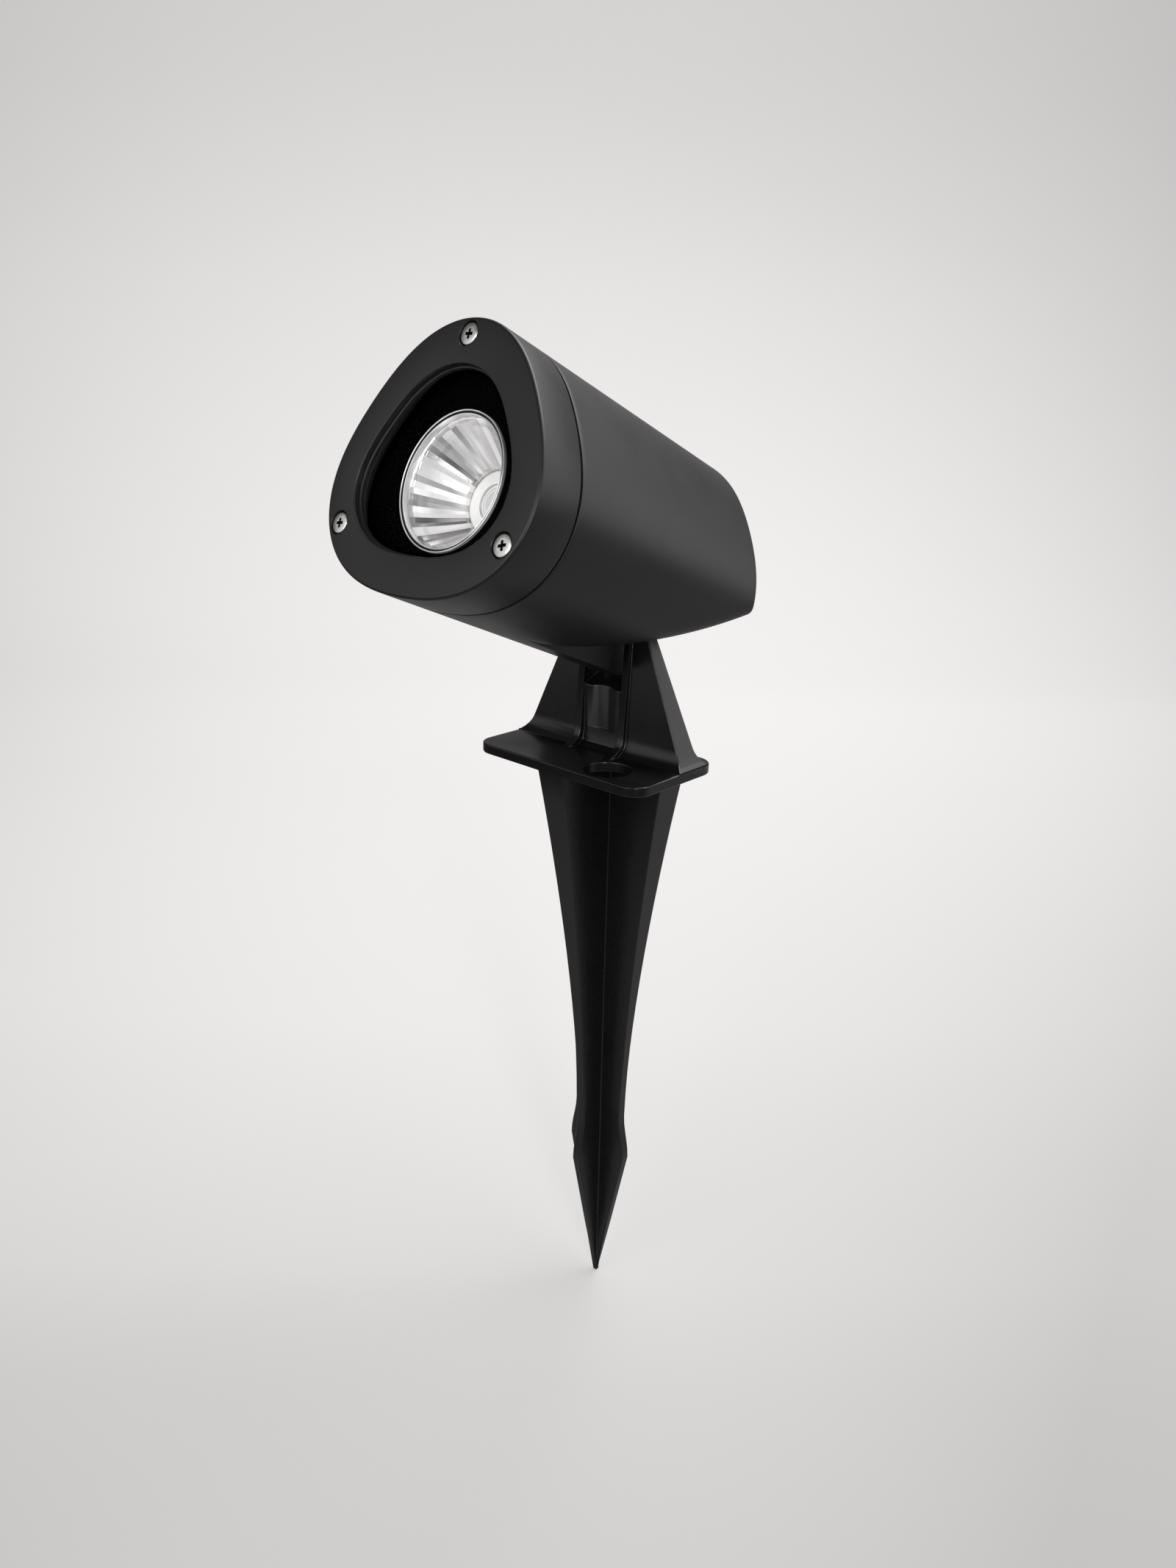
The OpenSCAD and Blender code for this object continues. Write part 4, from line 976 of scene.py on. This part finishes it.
class SPOT_OT_other_finishes(bpy.types.Operator):
    """Finish the hinge's hardware, the cable gland, the seals and the parts inside the barrel"""
    bl_idname = "spot.other_finishes"
    bl_label = "Hardware and inner parts"

    def execute(self, context):
        finish_nodes(bpy.data.materials["tumbled_stainless_steel"], "pivot_bolt", "pivot_nut",
                     "pivot_washers", "holder_screws", "plate_screws", "board_screws")
        # Matt black ABS for the baffle, so that no stray light shows round the reflector
        black = grained("matt_black_abs", linear("020202"), patch=8, patch_change=0.1, grain=0.3,
                        grain_depth=0.001, rough=(0.85, 0.95), specular=0.0)
        finish_nodes(black, "baffle")
        for nodes, name, code, *look in HIDDEN_FINISHES:
            finish_nodes(grained(name, linear(code), *look), *nodes)
        return {"FINISHED"}


# The stage

def paper_sweep(half, front, back, bend, rise, low, turn):
    """A floor that curves up behind the object into a wall, turned to face the camera. Sizes in metres."""
    shape = bmesh.new()
    line = [(-front, low)]
    steps = 24
    for i in range(steps + 1):
        a = math.radians(90 * i / steps)
        line.append((back + bend * math.sin(a), low + bend * (1 - math.cos(a))))
    line.append((back + bend, low + rise))
    edges = []
    for x in (-half, half):
        edges.append([shape.verts.new((x, y, z)) for y, z in line])
    for i in range(len(line) - 1):
        shape.faces.new((edges[0][i], edges[1][i], edges[1][i + 1], edges[0][i + 1]))
    mesh = bpy.data.meshes.new("paper_sweep")
    bmesh.ops.transform(shape, matrix=Matrix.Rotation(turn, 4, "Z"), verts=shape.verts)
    shape.to_mesh(mesh)
    shape.free()
    mesh.shade_smooth()
    return mesh


def area_lamp(name, place, aim, width, height, power):
    """A soft box at a place in metres, turned to its aim, its power in watts."""
    lamp = bpy.data.lights.new(name, "AREA")
    lamp.shape = "RECTANGLE"
    lamp.size = width
    lamp.size_y = height
    lamp.energy = power
    thing = new_object(name, lamp)
    thing.location = place
    thing.rotation_euler = (Vector(aim) - Vector(place)).to_track_quat("-Z", "Y").to_euler()
    return thing


# What the camera looks at, this far right of the stake's axis and over the plate's underside, in mm
LOOK_RIGHT = -6.345
LOOK_UP = -9.49
# The lens, from a focal length of 1497.33 pixels in a picture 1600 wide
SENSOR = 36.0
LENS = SENSOR * 1497.33 / 1600
# Where the stake's tip stands on the paper
FLOOR_LEVEL = -197 * MM
# The lamps aim at this point
AIM = Vector((0, 0, -0.03))


class SPOT_OT_stage(bpy.types.Operator):
    """Set up the paper sweep, the soft boxes, the world and the camera"""
    bl_idname = "spot.stage"
    bl_label = "Stage"

    def execute(self, context):
        scene = context.scene
        view = scene.spot_stage
        a = view.azimuth
        e = view.elevation
        back = Vector((math.sin(a) * math.cos(e), -math.cos(a) * math.cos(e), math.sin(e)))
        right = Vector((math.cos(a), math.sin(a), 0))
        up = back.cross(right)
        spot = Vector((0, 0, LOOK_UP * MM)) + right * LOOK_RIGHT * MM + back * view.distance
        across = right * math.cos(view.roll) + up * math.sin(view.roll)
        upward = up * math.cos(view.roll) - right * math.sin(view.roll)
        lens = bpy.data.cameras.new("Camera")
        lens.sensor_fit = "HORIZONTAL"
        lens.sensor_width = SENSOR
        lens.lens = LENS
        lens.clip_start = 0.01
        lens.clip_end = 20
        camera = new_object("Camera", lens)
        camera.matrix_world = Matrix((
            (across.x, upward.x, back.x, spot.x), (across.y, upward.y, back.y, spot.y),
            (across.z, upward.z, back.z, spot.z), (0, 0, 0, 1)))
        scene.camera = camera

        paper = new_object("paper_sweep", paper_sweep(
            half=3.0, front=1.6, back=0.9, bend=0.9, rise=2.6, low=FLOOR_LEVEL, turn=a))
        finish(paper, floor_paper(view.floor, a))

        level = Vector((right.x, right.y, 0))
        away = Vector((-math.sin(a), math.cos(a), 0))
        top = Vector((0, 0, 1))
        facing = (BARREL.to_3x3() @ Vector((0, 0, 1))).normalized()
        # Each lamp: where it stands from the aim, its width and height in metres, and its watts
        for name, offset, width, height, power in (
                ("top_softbox", top * 0.95 + away * 0.3 + level * 0.35, 0.9, 0.8, 11.0),
                ("right_softbox", level * 0.85 + top * 0.62 - away * 0.05, 1.4, 1.3, 8.5),
                ("left_softbox", level * -0.95 - away * 0.15 + top * 0.32, 0.6, 0.8, 1.2),
                ("front_softbox", facing * 1.1 + level * 0.04, 0.7, 0.7, 4.5),
                ("strip_softbox", away * -0.9 + level * 0.2 + top * 0.27, 0.14, 0.56, 3.7)):
            area_lamp(name, AIM + offset, AIM, width, height, power)

        world = bpy.data.worlds.new("Studio")
        world.use_nodes = True
        scene.world = world
        tree = world.node_tree
        tree.nodes.clear()
        # The camera sees a pale room past the paper's edge; the object gets only a little light from it
        path = add_node(tree, "ShaderNodeLightPath")
        air = add_node(tree, "ShaderNodeBackground", {
            "Color": linear("fdfbfb"), "Strength": ranged(tree, path.outputs["Is Camera Ray"], 0.07, 0.68)})
        add_node(tree, "ShaderNodeOutputWorld", {"Surface": air.outputs["Background"]})
        scene.view_settings.view_transform = "Standard"
        return {"FINISHED"}


PIECES = (SPOT_OT_barrel, SPOT_OT_front_ring, SPOT_OT_ring_screws, SPOT_OT_reflector, SPOT_OT_lamp,
          SPOT_OT_stake, SPOT_OT_other_finishes, SPOT_OT_stage)


class SPOT_PT_panel(bpy.types.Panel):
    """Buttons for each piece, and the sizes and colours that can be changed"""
    bl_idname = "SPOT_PT_panel"
    bl_label = "Garden spike spotlight"
    bl_space_type = "VIEW_3D"
    bl_region_type = "UI"
    bl_category = "Spotlight"

    def draw(self, context):
        scene = context.scene
        for group in (scene.spot_sizes, scene.spot_finishes, scene.spot_stage):
            box = self.layout.box()
            for name in group.bl_rna.properties.keys():
                if name not in ("rna_type", "name"):
                    box.prop(group, name)
        column = self.layout.column(align=True)
        for piece in PIECES:
            column.operator(piece.bl_idname)


CLASSES = (SpotSizes, SpotFinishes, StageSettings, *PIECES, SPOT_PT_panel)


def register():
    for kind in CLASSES:
        bpy.utils.register_class(kind)
    bpy.types.Scene.spot_sizes = bpy.props.PointerProperty(type=SpotSizes)
    bpy.types.Scene.spot_finishes = bpy.props.PointerProperty(type=SpotFinishes)
    bpy.types.Scene.spot_stage = bpy.props.PointerProperty(type=StageSettings)


def unregister():
    del bpy.types.Scene.spot_stage
    del bpy.types.Scene.spot_finishes
    del bpy.types.Scene.spot_sizes
    for kind in reversed(CLASSES):
        bpy.utils.unregister_class(kind)


def main():
    """Registers the classes and makes every piece in order."""
    register()
    for piece in PIECES:
        group, action = piece.bl_idname.split(".")
        getattr(getattr(bpy.ops, group), action)()


if __name__ == "__main__":
    main()
